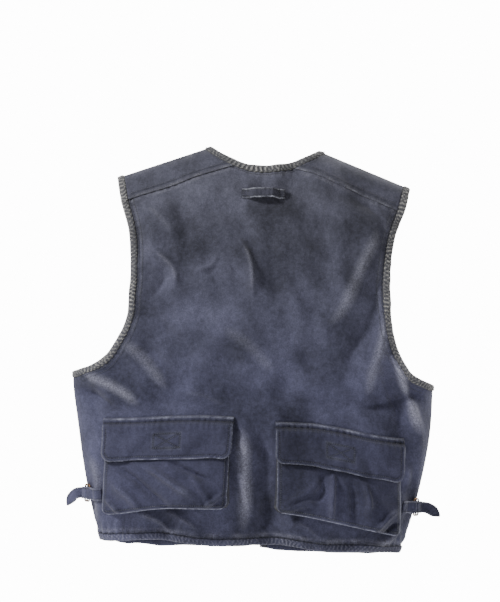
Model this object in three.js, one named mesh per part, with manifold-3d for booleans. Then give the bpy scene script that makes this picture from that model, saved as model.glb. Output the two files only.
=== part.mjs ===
// A waist-length fishing vest of garment-dyed cotton twill, hanging open from its shoulders.
// Millimetres, +Z up, +Y is the wearer's front, +X the wearer's right.
// The origin is midway between the two points where the shoulders meet the neck.
import * as THREE from "three";
import { mergeVertices } from "three/addons/utils/BufferGeometryUtils.js";
import Module from "manifold-3d";

const wasm = await Module();
wasm.setup();

const BACK = -1;
const FRONT = 1;

// ---- Driving dimensions ----
const neckHalf = 74; // centre to where the shoulder meets the neck
const shoulderHalf = 205; // centre to the shoulder's tip
const shoulderSlope = 0.373; // fall of the shoulder per millimetre outwards
const backNeckDrop = 22;
const vNeckDepth = 190;
const armholeDepth = 320;
const chestHalf = 250; // half the width of the hanging vest under the armholes
const hemDraw = 41; // how much narrower each side is at the hem
const backLength = 552;
const frontLength = 560;
const bodyHalfDepth = 70;
const ridgeRadius = 20; // rounding of the cloth over the shoulders
const yokeDrop = 36; // yoke seams lie this far below the shoulder line, back and front
const shellThick = 1.6;
const bindingWidth = 10;
const bindingThick = 3.2;
const frontGap = 14; // centre to each front edge, unzipped
const seamGap = 0.36; // between two pieces that are sewn together
const clothThick = 2; // flaps and straps, two layers of cloth

// ---- The body: one smooth hollow form that every panel is cut from ----
const deepening = 200; // the body reaches its full depth this far below the shoulder
const squareness = 2.5; // exponent of the rounded cross-section
const shoulderFlare = 50; // the form is this much wider at the shoulders than at the chest
const neckRound = 40; // the shoulder line is rounded inside this half width
const hemCurve = 1.9;

const smooth = (t) => THREE.MathUtils.smoothstep(t, 0, 1);
const lerp = THREE.MathUtils.lerp;
const span = (count, from = 0, to = 1) =>
  Array.from({ length: count + 1 }, (_, i) => lerp(from, to, i / count));

function shoulderHeight(x) {
  const a = Math.abs(x);
  if (a >= neckRound) return -shoulderSlope * (a - neckHalf);
  const rise = (neckRound * neckRound - a * a) / (2 * neckRound);
  return -shoulderSlope * (neckRound - neckHalf) + shoulderSlope * rise;
}

function halfWidthAt(z) {
  const below = -armholeDepth - z;
  if (below < 0) return chestHalf + shoulderFlare * smooth(-below / armholeDepth);
  return chestHalf - hemDraw * (below / (backLength - armholeDepth)) ** hemCurve;
}

function halfDepthAt(drop) {
  const fall = Math.max(drop, 0);
  const round = fall < ridgeRadius ? Math.sqrt(1 - (1 - fall / ridgeRadius) ** 2) : 1;
  const swell = Math.sin((Math.PI / 2) * Math.min(fall / deepening, 1));
  return ridgeRadius * round + (bodyHalfDepth - ridgeRadius) * swell;
}

// How far a point is outside the body's form: zero on it, negative inside.
function outside(x, y, z) {
  const depth = halfDepthAt(shoulderHeight(x) - z);
  return (Math.abs(x) / halfWidthAt(z)) ** squareness + (Math.abs(y) / depth) ** squareness - 1;
}

// The point of the form seen at x, z from the back or the front, with its outward normal.
function onBody(x, z, face) {
  const drop = shoulderHeight(x) - z;
  const share = Math.min(Math.abs(x) / halfWidthAt(z), 1);
  const fullness = (1 - share ** squareness) ** (1 / squareness);
  const onRidge = drop < 0.05;
  const y = onRidge ? 0 : face * Math.max(halfDepthAt(drop) * fullness, seamGap / 2);
  if (onRidge) {
    const up = new THREE.Vector3(shoulderSlope * Math.sign(x), 0, 1).normalize();
    return { p: new THREE.Vector3(x, 0, shoulderHeight(x)), n: up };
  }
  const step = 0.01;
  const n = new THREE.Vector3(
    outside(x + step, y, z) - outside(x - step, y, z),
    outside(x, y + step, z) - outside(x, y - step, z),
    outside(x, y, z + step) - outside(x, y, z - step),
  ).normalize();
  return { p: new THREE.Vector3(x, y, z), n };
}

// ---- Solids ----
const lift = ({ p, n }, height) => p.clone().addScaledVector(n, height);
const liftAll = (grid, height) => grid.map((row) => row.map((at) => lift(at, height)));

function volumeOf(points, index) {
  let six = 0;
  for (let i = 0; i < index.length; i += 3) {
    const [a, b, c] = [points[index[i]], points[index[i + 1]], points[index[i + 2]]];
    six += a.dot(b.clone().cross(c));
  }
  return six / 6;
}

// A closed solid between two grids of points with the same rows and columns.
function slab(outer, inner) {
  const rows = outer.length;
  const cols = outer[0].length;
  const points = [...outer.flat(), ...inner.flat()];
  const at = (layer, i, j) => (layer * rows + i) * cols + j;
  const index = [];
  const quad = (a, b, c, d) => index.push(a, b, c, a, c, d);
  for (let i = 0; i < rows - 1; i++)
    for (let j = 0; j < cols - 1; j++) {
      quad(at(0, i, j), at(0, i, j + 1), at(0, i + 1, j + 1), at(0, i + 1, j));
      quad(at(1, i, j), at(1, i + 1, j), at(1, i + 1, j + 1), at(1, i, j + 1));
    }
  const low = rows - 1;
  const end = cols - 1;
  for (let j = 0; j < end; j++) {
    quad(at(1, 0, j), at(1, 0, j + 1), at(0, 0, j + 1), at(0, 0, j));
    quad(at(0, low, j), at(0, low, j + 1), at(1, low, j + 1), at(1, low, j));
  }
  for (let i = 0; i < low; i++) {
    quad(at(0, i, 0), at(0, i + 1, 0), at(1, i + 1, 0), at(1, i, 0));
    quad(at(1, i, end), at(1, i + 1, end), at(0, i + 1, end), at(0, i, end));
  }
  if (volumeOf(points, index) < 0) index.reverse();
  return new THREE.BufferGeometry().setFromPoints(points).setIndex(index);
}

const cloth = (grid, above, below) => slab(liftAll(grid, above), liftAll(grid, -below));

function solid(geometry) {
  const bare = new THREE.BufferGeometry().setAttribute("position", geometry.getAttribute("position"));
  if (geometry.index) bare.setIndex(geometry.index);
  const merged = mergeVertices(bare, 1e-4);
  const vertProperties = new Float32Array(merged.attributes.position.array);
  const triVerts = new Uint32Array(merged.index.array);
  return new wasm.Manifold(new wasm.Mesh({ numProp: 3, vertProperties, triVerts }));
}

function geometryOf(manifold) {
  const mesh = manifold.getMesh();
  const position = new Float32Array(mesh.numVert * 3);
  for (let i = 0; i < mesh.numVert; i++)
    position.set(mesh.vertProperties.subarray(i * mesh.numProp, i * mesh.numProp + 3), i * 3);
  return new THREE.BufferGeometry()
    .setAttribute("position", new THREE.BufferAttribute(position, 3))
    .setIndex(new THREE.BufferAttribute(new Uint32Array(mesh.triVerts), 1));
}

const cut = (geometry, ...tools) =>
  geometryOf(tools.reduce((made, tool) => made.subtract(solid(tool)), solid(geometry)));
const join = (first, ...others) =>
  geometryOf(others.reduce((made, other) => made.add(solid(other)), solid(first)));

// The wearer's left-hand copy of a right-hand piece.
function mirrored(geometry) {
  const copy = geometry.clone().scale(-1, 1, 1);
  const turned = Array.from(copy.index ? copy.index.array : copy.attributes.position.array.keys());
  if (!copy.index) turned.length = copy.attributes.position.count;
  return copy.setIndex(turned.reverse());
}

function box(width, depth, height, x, y, z) {
  return new THREE.BoxGeometry(width, depth, height).translate(x, y, z);
}

// A flat outline in the XY plane, drawn up along Z between two heights.
function prism(outline, bottom, top) {
  const shape = new THREE.Shape(outline.map(([x, y]) => new THREE.Vector2(x, y)));
  const depth = top - bottom;
  return new THREE.ExtrudeGeometry(shape, { depth, bevelEnabled: false }).translate(0, 0, bottom);
}

// ---- Edges that the panels and their bindings share ----
const ridgeSteps = [0, 0.25, 0.5, 0.75, 1].map((k) => ridgeRadius * (1 - Math.cos((k * Math.PI) / 2)));
const yokeDrops = [...ridgeSteps, yokeDrop]; // from the ridge down to a yoke seam

// Neck: the finished edge and the binding's inner edge are two parabolas across the back.
const neckInnerHalf = neckHalf + bindingWidth;
const neckParabola = (x, half, drop) => -drop + (drop + shoulderHeight(half)) * (x / half) ** 2;
const neckEdgeZ = (x) => neckParabola(x, neckHalf, backNeckDrop);
const neckInnerZ = (x) => neckParabola(x, neckInnerHalf, backNeckDrop + bindingWidth);

// The x at which a back neck curve lies a given drop below the shoulder line.
function backNeckX(drop, half, curve) {
  let low = 0;
  let high = half;
  for (let i = 0; i < 40; i++) {
    const middle = (low + high) / 2;
    if (shoulderHeight(middle) - curve(middle) > drop) low = middle;
    else high = middle;
  }
  return high;
}

// Front: a V from the shoulder to the top of the zip, then straight down.
const vCurve = 1.1;
const edgeShift = frontGap + bindingWidth;
function vNeckX(z, half, foot) {
  const top = shoulderHeight(half);
  const share = THREE.MathUtils.clamp((z + vNeckDepth) / (top + vNeckDepth), 0, 1);
  return foot + (half - foot) * share ** vCurve;
}
function frontNeckX(drop, half, foot) {
  let x = half;
  for (let i = 0; i < 30; i++) x = vNeckX(shoulderHeight(x) - drop, half, foot);
  return x;
}

// Armhole: nearly straight over the yoke, then one curve down to the side seam.
const yokeTaper = 0.2;
const armholeYokeX = (drop) => shoulderHalf - yokeTaper * drop;
const armholeStart = armholeYokeX(yokeDrop);
const armholeCurve = new THREE.CatmullRomCurve3([
  new THREE.Vector3(armholeStart, 0, shoulderHeight(armholeStart) - yokeDrop),
  new THREE.Vector3(0.905 * shoulderHalf, 0, -0.37 * armholeDepth),
  new THREE.Vector3(0.878 * shoulderHalf, 0, -0.58 * armholeDepth),
  new THREE.Vector3(0.917 * shoulderHalf, 0, -0.79 * armholeDepth),
  new THREE.Vector3(lerp(shoulderHalf, chestHalf, 0.2), 0, -0.945 * armholeDepth),
  new THREE.Vector3(chestHalf, 0, -armholeDepth),
]);
const armholeRows = 12;
const armholeEdge = span(armholeRows).map((k) => armholeCurve.getPointAt(1 - (1 - k) ** 1.25));
const armholeInner = armholeEdge.map((at, i) => {
  const along = armholeCurve.getTangentAt(1 - (1 - i / armholeRows) ** 1.25);
  const inset = new THREE.Vector3(at.x + bindingWidth * along.z, 0, at.z - bindingWidth * along.x);
  if (i === 0) {
    inset.x = armholeStart - bindingWidth;
    inset.z = shoulderHeight(inset.x) - yokeDrop;
  }
  if (i === armholeRows) inset.x = halfWidthAt(inset.z);
  return inset;
});

// The outer border of a panel, from the yoke seam down to the hem's binding.
const sideRows = 6;
const sideTop = armholeInner[armholeRows].z;
function outerBorder(hemZ) {
  const side = span(sideRows, sideTop, hemZ).slice(1);
  return [...armholeInner, ...side.map((z) => new THREE.Vector3(halfWidthAt(z), 0, z))];
}

// ---- Panels ----
const half = shellThick / 2;
const seamHalf = seamGap / 2;
const backHemZ = -(backLength - bindingWidth);
const frontHemZ = -(frontLength - bindingWidth);

const neckCorner = backNeckX(yokeDrop, neckInnerHalf, neckInnerZ);
const topWidth = armholeInner[0].x;
const cornerAngle = Math.asin(neckCorner / topWidth);
const halfColumns = [...span(2, 0, cornerAngle), ...span(8, cornerAngle, Math.PI / 2).slice(1)].map(Math.sin);
const panelColumns = [...halfColumns.slice(1).reverse().map((s) => -s), ...halfColumns];
const shares = halfColumns.slice(2).map((s) => (s - halfColumns[2]) / (1 - halfColumns[2]));

function backTop(s) {
  const x = s * topWidth;
  if (Math.abs(x) < neckCorner - 0.01) return neckInnerZ(x) - seamHalf;
  return shoulderHeight(x) - yokeDrop - seamHalf;
}

const backBorder = outerBorder(backHemZ);
const sideX = (row, width, z) => (row < armholeRows ? width : halfWidthAt(z));
const backGrid = backBorder.map(({ x, z: borderZ }, i) => {
  const fallen = (borderZ - backBorder[0].z) / (backHemZ - backBorder[0].z);
  return panelColumns.map((s) => {
    const z = lerp(backTop(s), backHemZ + seamHalf, fallen);
    return onBody(s * (Math.abs(s) > 1 - 1e-9 ? sideX(i, x, z) : x), z, BACK);
  });
});

const frontBorder = outerBorder(frontHemZ);
const vRows = 6; // rows of the front panel above the foot of the V
const vTop = shoulderHeight(frontNeckX(yokeDrop, neckInnerHalf, edgeShift)) - yokeDrop;
const innerHeights = [
  ...span(vRows, vTop, -vNeckDepth),
  ...span(frontBorder.length - 1 - vRows, -vNeckDepth, frontHemZ).slice(1),
];
const frontGrid = frontBorder.map(({ x: width, z }, i) => {
  const innerX = vNeckX(innerHeights[i], neckInnerHalf, edgeShift);
  const last = i === frontBorder.length - 1 ? seamHalf : 0;
  return shares.map((a) => {
    const x = lerp(innerX + seamHalf, width, a);
    const shift = i === 0 ? -seamHalf : last;
    const level = (i === 0 ? shoulderHeight(x) - yokeDrop : lerp(innerHeights[i], z, a)) + shift;
    return onBody(a > 1 - 1e-9 ? sideX(i, width, level) : x, level, FRONT);
  });
});

// The yoke goes over the shoulder from the back seam to the front one.
const yokeRows = [
  ...yokeDrops.slice(1).reverse().map((drop) => ({ drop, face: BACK })),
  ...yokeDrops.map((drop) => ({ drop, face: FRONT })),
];
function yokeInnerX({ drop, face }) {
  if (face === BACK) return backNeckX(drop, neckInnerHalf, neckInnerZ);
  return frontNeckX(drop, neckInnerHalf, edgeShift);
}
const yokeGrid = yokeRows.map((row) => {
  const from = yokeInnerX(row) + seamHalf;
  const to = armholeYokeX(row.drop) - bindingWidth;
  const drop = row.drop === yokeDrop ? yokeDrop - seamHalf : row.drop;
  return shares.map((a) => {
    const x = lerp(from, to, a);
    return onBody(x, shoulderHeight(x) - drop, row.face);
  });
});

// ---- Bindings: a folded tape round each raw edge, as a band between two edges ----
function band(edge, inner) {
  const grid = edge.map((at, i) => {
    const { p, n } = inner[i];
    const toEdge = at.p.clone().sub(p).normalize();
    const before = inner[Math.max(i - 1, 0)].p;
    const along = inner[Math.min(i + 1, inner.length - 1)].p.clone().sub(before).normalize();
    const slant = along.cross(toEdge).length(); // 1 where the band stands square to its seam
    return [at, { p: p.clone().addScaledVector(toEdge, seamGap / slant), n }];
  });
  return cloth(grid, bindingThick / 2, bindingThick / 2);
}
const atDrop = (x, drop, face) => onBody(x, shoulderHeight(x) - drop, face);

function neckBinding() {
  const overYoke = yokeRows.map((row) => {
    const back = row.face === BACK;
    const edgeX = back
      ? backNeckX(row.drop, neckHalf, neckEdgeZ)
      : frontNeckX(row.drop, neckHalf, frontGap);
    return [atDrop(edgeX, row.drop, row.face), atDrop(yokeInnerX(row), row.drop, row.face)];
  });
  const across = panelColumns.filter((s) => Math.abs(s * topWidth) < neckCorner - 0.01);
  const ratio = neckHalf / neckInnerHalf;
  const behind = across.map((s) => {
    const x = s * topWidth;
    return [onBody(x * ratio, neckEdgeZ(x * ratio), BACK), onBody(x, neckInnerZ(x), BACK)];
  });
  const flip = ({ p, n }) => ({ p: new THREE.Vector3(-p.x, p.y, p.z), n: new THREE.Vector3(-n.x, n.y, n.z) });
  const left = overYoke.map((pair) => pair.map(flip)).reverse();
  const pairs = [...left, ...behind, ...overYoke];
  return band(pairs.map((pair) => pair[0]), pairs.map((pair) => pair[1]));
}

// Over the yoke and down the back: this part stays with the back when a front swings open.
function armholeBinding() {
  const yoke = [...yokeRows].reverse();
  const overYoke = yoke.map(({ drop, face }) => [
    atDrop(armholeYokeX(drop), drop, face),
    atDrop(armholeYokeX(drop) - bindingWidth, drop, face),
  ]);
  const down = armholeEdge.slice(1).map((at, i) => [
    onBody(at.x, at.z, BACK),
    onBody(armholeInner[i + 1].x, armholeInner[i + 1].z, BACK),
  ]);
  const pairs = [...overYoke, ...down];
  return band(pairs.map((pair) => pair[0]), pairs.map((pair) => pair[1]));
}

function frontArmholeBinding() {
  const lower = ({ x, z }, i) => onBody(x, z - (i === 0 ? seamGap : 0), FRONT);
  return band(armholeEdge.map(lower), armholeInner.map(lower));
}

// Down the V and the front edge to the hem, with the zip sewn behind it.
function frontEdgeBinding() {
  const heights = innerHeights.map((z, i) => (i === 0 ? z - seamGap : z));
  heights[heights.length - 1] = -frontLength;
  const edge = heights.map((z, i) => {
    if (i === 0) return atDrop(frontNeckX(yokeDrop, neckHalf, frontGap), yokeDrop + seamGap, FRONT);
    return onBody(vNeckX(z, neckHalf, frontGap), z, FRONT);
  });
  const inner = heights.map((z) => onBody(vNeckX(z, neckInnerHalf, edgeShift), z, FRONT));
  return band(edge, inner);
}

function hemBinding(grid, face, innerZ, edgeZ) {
  const taper = halfWidthAt(edgeZ) / halfWidthAt(innerZ);
  const widths = grid[grid.length - 1].map(({ p }) => p.x);
  if (face === FRONT) widths[0] += seamGap;
  const reach = Math.max(...widths) - 1e-6;
  const bandEdge = (z, scale) =>
    widths.map((x) => {
      const atSide = Math.abs(x) > reach;
      const fixed = face === FRONT && x < chestHalf / 2;
      return onBody(atSide ? Math.sign(x) * halfWidthAt(z) : x * (fixed ? 1 : scale), z, face);
    });
  return band(bandEdge(edgeZ, taper), bandEdge(innerZ, 1));
}

// ---- Pieces sewn on a panel are trimmed to lie on its outer or inner side ----
const overPanel = (grid) => cloth(grid, half + seamGap, 12);
const underPanel = (grid) => cloth(grid, 12, half + seamGap);

// ---- Bellows pockets, each with a flap that closes on hook and loop patches ----
const patchThick = 1.2;
const pouchWall = 1.6;
const flapRise = 2 * patchThick + 3 * seamGap + clothThick / 2; // pouch front to the flap's middle

const backPocket = {
  face: BACK,
  inner: 32,
  outer: 204,
  columns: 8,
  top: -388,
  bottom: -506,
  patchTop: -398,
  patchBottom: -418,
  mouthDepth: 10,
  baseDepth: 24,
  lean: 8.5, // degrees that the pocket faces outwards
  flapTop: -374,
  flapBottom: -434,
  flapMargin: 4,
  flapCorner: 14,
};
const lowerPocket = {
  ...backPocket,
  face: FRONT,
  inner: 44,
  outer: 204,
  top: -392,
  bottom: -512,
  patchTop: -402,
  patchBottom: -422,
  flapTop: -378,
  flapBottom: -438,
};
const chestPocket = {
  ...backPocket,
  face: FRONT,
  inner: 48,
  outer: 152,
  columns: 6,
  top: -231,
  bottom: -326,
  patchTop: -242,
  patchBottom: -258,
  mouthDepth: 9,
  baseDepth: 14,
  lean: 4.5,
  flapTop: -220,
  flapBottom: -270,
  flapMargin: 3,
  flapCorner: 12,
};

function pocketTools(spec) {
  const angle = THREE.MathUtils.degToRad(spec.lean);
  const out = new THREE.Vector3(Math.sin(angle), spec.face * Math.cos(angle), 0);
  const depthAt = (z) => {
    const fallen = THREE.MathUtils.clamp((spec.top - z) / (spec.top - spec.bottom), 0, 1);
    return lerp(spec.mouthDepth, spec.baseDepth, fallen);
  };
  const point = (x, z, height) => onBody(x, z, spec.face).p.addScaledVector(out, height);
  const columns = span(spec.columns, spec.inner, spec.outer);
  return { out, depthAt, point, columns };
}

function pouch(spec, panelGrid) {
  const { depthAt, point, columns } = pocketTools(spec);
  const middle = lerp(spec.patchBottom, spec.bottom, 0.5);
  const rows = [spec.top, spec.patchTop, spec.patchBottom, middle, spec.bottom];
  const block = (xs, zs, high, low) =>
    slab(
      zs.map((z) => xs.map((x) => point(x, z, high(z)))),
      zs.map((z) => xs.map((x) => point(x, z, low))),
    );
  const outer = block(columns, rows, depthAt, -2);
  const innerX = [...columns];
  innerX[0] += pouchWall;
  innerX[innerX.length - 1] -= pouchWall;
  const innerZ = [spec.top + 6, ...rows.slice(1, -1), spec.bottom + pouchWall];
  const room = (z) => depthAt(z) - pouchWall;
  return cut(outer, block(innerX, innerZ, room, -6), overPanel(panelGrid));
}

function patch(spec, low) {
  const { depthAt, point, columns } = pocketTools(spec);
  const middle = spec.columns / 2;
  const xs = columns.slice(middle - 1, middle + 2);
  const zs = [spec.patchTop, spec.patchBottom];
  const layer = (height) => zs.map((z) => xs.map((x) => point(x, z, depthAt(z) + height)));
  return slab(layer(low + patchThick), layer(low));
}
const loopPatch = (spec) => patch(spec, seamGap);
const hookPatch = (spec) => patch(spec, patchThick + 2 * seamGap);

function flap(spec, panelGrid) {
  const { depthAt, point, columns } = pocketTools(spec);
  const xs = [spec.inner - spec.flapMargin, ...columns, spec.outer + spec.flapMargin];
  const corner = spec.flapCorner;
  const turns = [90, 60, 30, 0].map(THREE.MathUtils.degToRad);
  const lower = turns.map((a) => ({
    z: spec.flapBottom + corner * (1 - Math.cos(a)),
    inset: corner * (1 - Math.sin(a)),
  }));
  const seamRise = half + seamGap + clothThick / 2;
  const rows = [
    { z: spec.flapTop, inset: 0, rise: seamRise },
    { z: spec.flapTop - 5, inset: 0, rise: seamRise + 0.6 * spec.mouthDepth },
    { z: spec.top - 3, inset: 0, rise: depthAt(spec.top - 3) + flapRise },
    ...lower.map(({ z, inset }) => ({ z, inset, rise: depthAt(z) + flapRise })),
  ];
  const from = xs[0];
  const to = xs[xs.length - 1];
  const layer = (shift) =>
    rows.map(({ z, inset, rise }) =>
      xs.map((x) => point(lerp(from + inset, to - inset, (x - from) / (to - from)), z, rise + shift)),
    );
  return cut(slab(layer(clothThick / 2), layer(-clothThick / 2)), overPanel(panelGrid));
}

// ---- Net loop: a flat strap across the upper back, sewn down at both ends ----
const netLoop = { length: 60, width: 13, sewn: 8, flat: 15, top: -57, clear: 9.5, thick: 1.8 };
function netLoopStrap() {
  const end = netLoop.length / 2;
  const free = end - netLoop.sewn;
  const zs = [netLoop.top, netLoop.top - netLoop.width];
  const onPanel = (z) => Math.abs(onBody(0, z, BACK).p.y) + half + seamGap;
  const seatOf = (x, z) => (Math.abs(x) > netLoop.flat ? onPanel(z) : onPanel(netLoop.top) + netLoop.clear);
  const layer = (xs, heightened, past) =>
    zs.map((z, i) => xs.map((x) => new THREE.Vector3(x, -heightened(x, z), z + (i ? -past : past))));
  const xs = [-end, -free, -netLoop.flat, netLoop.flat, free, end];
  const strap = slab(
    layer(xs, (x, z) => seatOf(x, z) + netLoop.thick, 0),
    layer(xs, (x, z) => onPanel(z) - netLoop.thick, 0),
  );
  const room = xs.slice(1, -1);
  const hollow = slab(layer(room, seatOf, 1), layer(room, (x, z) => onPanel(z) - 2 * netLoop.thick, 1));
  return cut(strap, hollow, overPanel(backGrid));
}

// ---- Inside the back neck ----
const neckLabel = { width: 52, height: 24, top: -46, thick: 1 };
function neckLabelPatch() {
  const xs = span(4, -neckLabel.width / 2, neckLabel.width / 2);
  const zs = [neckLabel.top, neckLabel.top - neckLabel.height];
  const grid = zs.map((z) => xs.map((x) => onBody(x, z, BACK)));
  return cut(cloth(grid, 0, half + seamGap + neckLabel.thick), underPanel(backGrid));
}

// ---- Side adjusters: a tab holds a three-bar buckle, and a strap loops through it ----
const adjuster = { z: -488, width: 18, fromSide: 3.5, standOff: 5.4 };
const adjusterX = halfWidthAt(adjuster.z) - adjuster.fromSide;
const wire = { radius: 1.25, play: 0.9 };
const buckle = { pitch: 8, inside: 10.4 };
const strapEnd = { length: 28, fall: 9, turn: -58 };

// A plan of the adjuster: tau runs along the cloth to the side seam, nu stands off it.
const seat = (() => {
  const at = onBody(adjusterX, adjuster.z, BACK);
  const nu = new THREE.Vector2(at.n.x, at.n.y).normalize();
  const tau = new THREE.Vector2(-nu.y, nu.x);
  const origin = new THREE.Vector2(at.p.x, at.p.y);
  return (along, off) => origin.clone().addScaledVector(tau, along).addScaledVector(nu, off);
})();

// A ribbon standing on edge: its plan is a path with an even thickness.
function ribbon(path, thick, low, high) {
  const side = (sign) =>
    path.map((at, i) => {
      const before = path[Math.max(i - 1, 0)];
      const after = path[Math.min(i + 1, path.length - 1)];
      const along = after.clone().sub(before).normalize();
      return [at.x - (sign * along.y * thick) / 2, at.y + (sign * along.x * thick) / 2];
    });
  const [left, right] = [side(1), side(-1)];
  const wall = (z) => [left, right].map((line) => line.map(([x, y]) => new THREE.Vector3(x, y, z)));
  return slab(wall(high), wall(low));
}
const adjusterBottom = adjuster.z - adjuster.width / 2;
const adjusterTop = adjuster.z + adjuster.width / 2;
const post = (at, radius, low, high) =>
  new THREE.CylinderGeometry(radius, radius, high - low, 12)
    .rotateX(Math.PI / 2)
    .translate(at.x, at.y, (low + high) / 2);

const rearBar = seat(-buckle.pitch, adjuster.standOff);
const tabStartX = backPocket.outer + 3.5;
function adjusterTab() {
  const onCloth = span(3, tabStartX, adjusterX - 8).map((x) => {
    const { p, n } = onBody(x, adjuster.z, BACK);
    const out = new THREE.Vector2(n.x, n.y).normalize();
    return new THREE.Vector2(p.x, p.y).addScaledVector(out, half + 0.6 + clothThick / 2);
  });
  const eye = wire.radius + 0.4;
  const body = ribbon([...onCloth, rearBar.clone()], clothThick, adjusterBottom, adjusterTop);
  const loop = post(rearBar, eye + clothThick * 0.8, adjusterBottom, adjusterTop);
  return cut(join(body, loop), post(rearBar, eye, adjusterBottom - 5, adjusterTop + 5), overPanel(backGrid));
}

function adjusterBuckle() {
  const reach = buckle.inside + wire.radius;
  const bars = [-1, 0, 1].map((k) => seat(k * buckle.pitch, adjuster.standOff));
  const uprights = bars.map((at) => post(at, wire.radius, adjuster.z - reach, adjuster.z + reach));
  const along = bars[2].clone().sub(bars[0]);
  const rails = [-1, 1].map((side) =>
    new THREE.CylinderGeometry(wire.radius, wire.radius, along.length() + 2 * wire.radius, 12)
      .rotateZ(Math.PI / 2)
      .rotateZ(Math.atan2(along.y, along.x))
      .translate(bars[1].x, bars[1].y, adjuster.z + side * reach),
  );
  return join(uprights[0], uprights[1], uprights[2], ...rails);
}

const strapHinge = seat(buckle.pitch + 2.6, adjuster.standOff + 3.9);
function adjusterStrap() {
  const bend = wire.radius + wire.play + clothThick / 2;
  const off = adjuster.standOff;
  const turn = [-90, -135, -180, -225, -270].map(THREE.MathUtils.degToRad);
  const seamEnd = onBody(halfWidthAt(adjuster.z) - 0.3, adjuster.z, BACK).p;
  const path = [
    new THREE.Vector2(seamEnd.x + half + 0.9 + clothThick / 2, -1.4),
    seat(buckle.pitch + 3, off - bend - 0.9),
    ...turn.map((a) => seat(bend * Math.cos(a), off + bend * Math.sin(a))),
    seat(buckle.pitch, off + bend + 0.9),
    strapHinge.clone().lerp(seat(buckle.pitch, off + bend + 0.9), 0.25),
  ];
  return cut(ribbon(path, clothThick, adjusterBottom, adjusterTop), overPanel(backGrid));
}

// The free end of the strap, pointed, standing out to the side and drooping a little.
function adjusterStrapEnd() {
  const away = THREE.MathUtils.degToRad(strapEnd.turn);
  const tau = seat(1, 0).sub(seat(0, 0)).rotateAround(new THREE.Vector2(), away);
  const across = new THREE.Vector3(-tau.y, tau.x, 0).multiplyScalar(clothThick / 2);
  const steps = [
    [0, 1],
    [0.35, 1],
    [0.62, 0.92],
    [0.85, 0.55],
    [1, 0.14],
  ];
  const layer = (side) =>
    steps.map(([share, width]) =>
      [-1, 1].map((edge) => {
        const along = 1.2 + share * strapEnd.length;
        const z = adjuster.z - share * strapEnd.fall + (edge * width * adjuster.width) / 2;
        return new THREE.Vector3(strapHinge.x + tau.x * along, strapHinge.y + tau.y * along, z)
          .addScaledVector(across, side);
      }),
    );
  return slab(layer(1), layer(-1));
}

// ---- Zip: moulded teeth on two tapes, undone, with the slider at the foot of the left one ----
const zip = {
  top: -198,
  bottom: -536,
  toothPitch: 8,
  toothDepth: 3.4, // across the vest
  toothHeight: 3, // front to back
  bead: 1.2,
  tapeWidth: 14,
  tapeThick: 0.8,
  tapeEnd: 7, // tape past the teeth at each end
  toGap: 7.5, // centre of the vest to the tips of the teeth
};
const zipY = onBody(frontGap, zip.bottom, FRONT).p.y - bindingThick / 2 - seamGap - zip.tapeThick / 2;

function zipTape() {
  const x = zip.toGap + zip.toothDepth + seamGap + zip.tapeWidth / 2;
  const height = zip.top - zip.bottom + 2 * zip.tapeEnd;
  return box(zip.tapeWidth, zip.tapeThick, height, x, zipY, (zip.top + zip.bottom) / 2);
}

// Teeth and the bead that joins them, as a comb standing in the plane of the zip.
function zipTeeth() {
  const root = zip.toGap + zip.toothDepth;
  const outline = [[root, zip.bottom], [root, zip.top]];
  const count = Math.floor((zip.top - zip.bottom) / zip.toothPitch);
  for (let i = 0; i < count; i++) {
    const z = zip.top - i * zip.toothPitch;
    const gap = z - zip.toothPitch / 2;
    outline.push([zip.toGap, z], [zip.toGap, gap], [root - zip.bead, gap]);
    if (i < count - 1) outline.push([root - zip.bead, z - zip.toothPitch]);
  }
  outline.push([root - zip.bead, zip.bottom]);
  return prism(outline, -zip.toothHeight / 2, zip.toothHeight / 2).rotateX(Math.PI / 2).translate(0, zipY, 0);
}

const stopHeight = 4;
function zipTopStop() {
  const z = zip.top + stopHeight / 2 + seamGap;
  return box(zip.toothDepth, zip.toothHeight + 0.6, stopHeight, zip.toGap + zip.toothDepth / 2, zipY, z);
}
const boxHeight = 9;
function zipBox() {
  return box(2 * zip.toothDepth, 5, boxHeight, zip.toGap, zipY, zip.bottom - boxHeight / 2 - seamGap);
}
function zipPin() {
  return box(2, 2.2, boxHeight, zip.toGap + zip.toothDepth - 1, zipY, zip.bottom - boxHeight / 2 - seamGap);
}

// The slider is one section along its length: two plates, a post between them and lips at the sides.
const slider = { halfWidth: 6.4, length: 14, plate: 1.2, room: 0.5, post: 1.1, lip: 1 };
const sliderBottom = zip.bottom + 0.4;
const pull = {
  length: 18,
  width: 6.5,
  thick: 1.2,
  pinRadius: 0.8,
  play: 0.3,
  eyeWall: 0.8,
  eyeWidth: 2.6,
  neck: 4,
};
const pinHeight = sliderBottom + 0.72 * slider.length;
const pinX = zip.toGap - 1.7;
const pinY = zipY + zip.toothHeight / 2 + slider.room + slider.plate + 2.2;

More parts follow.
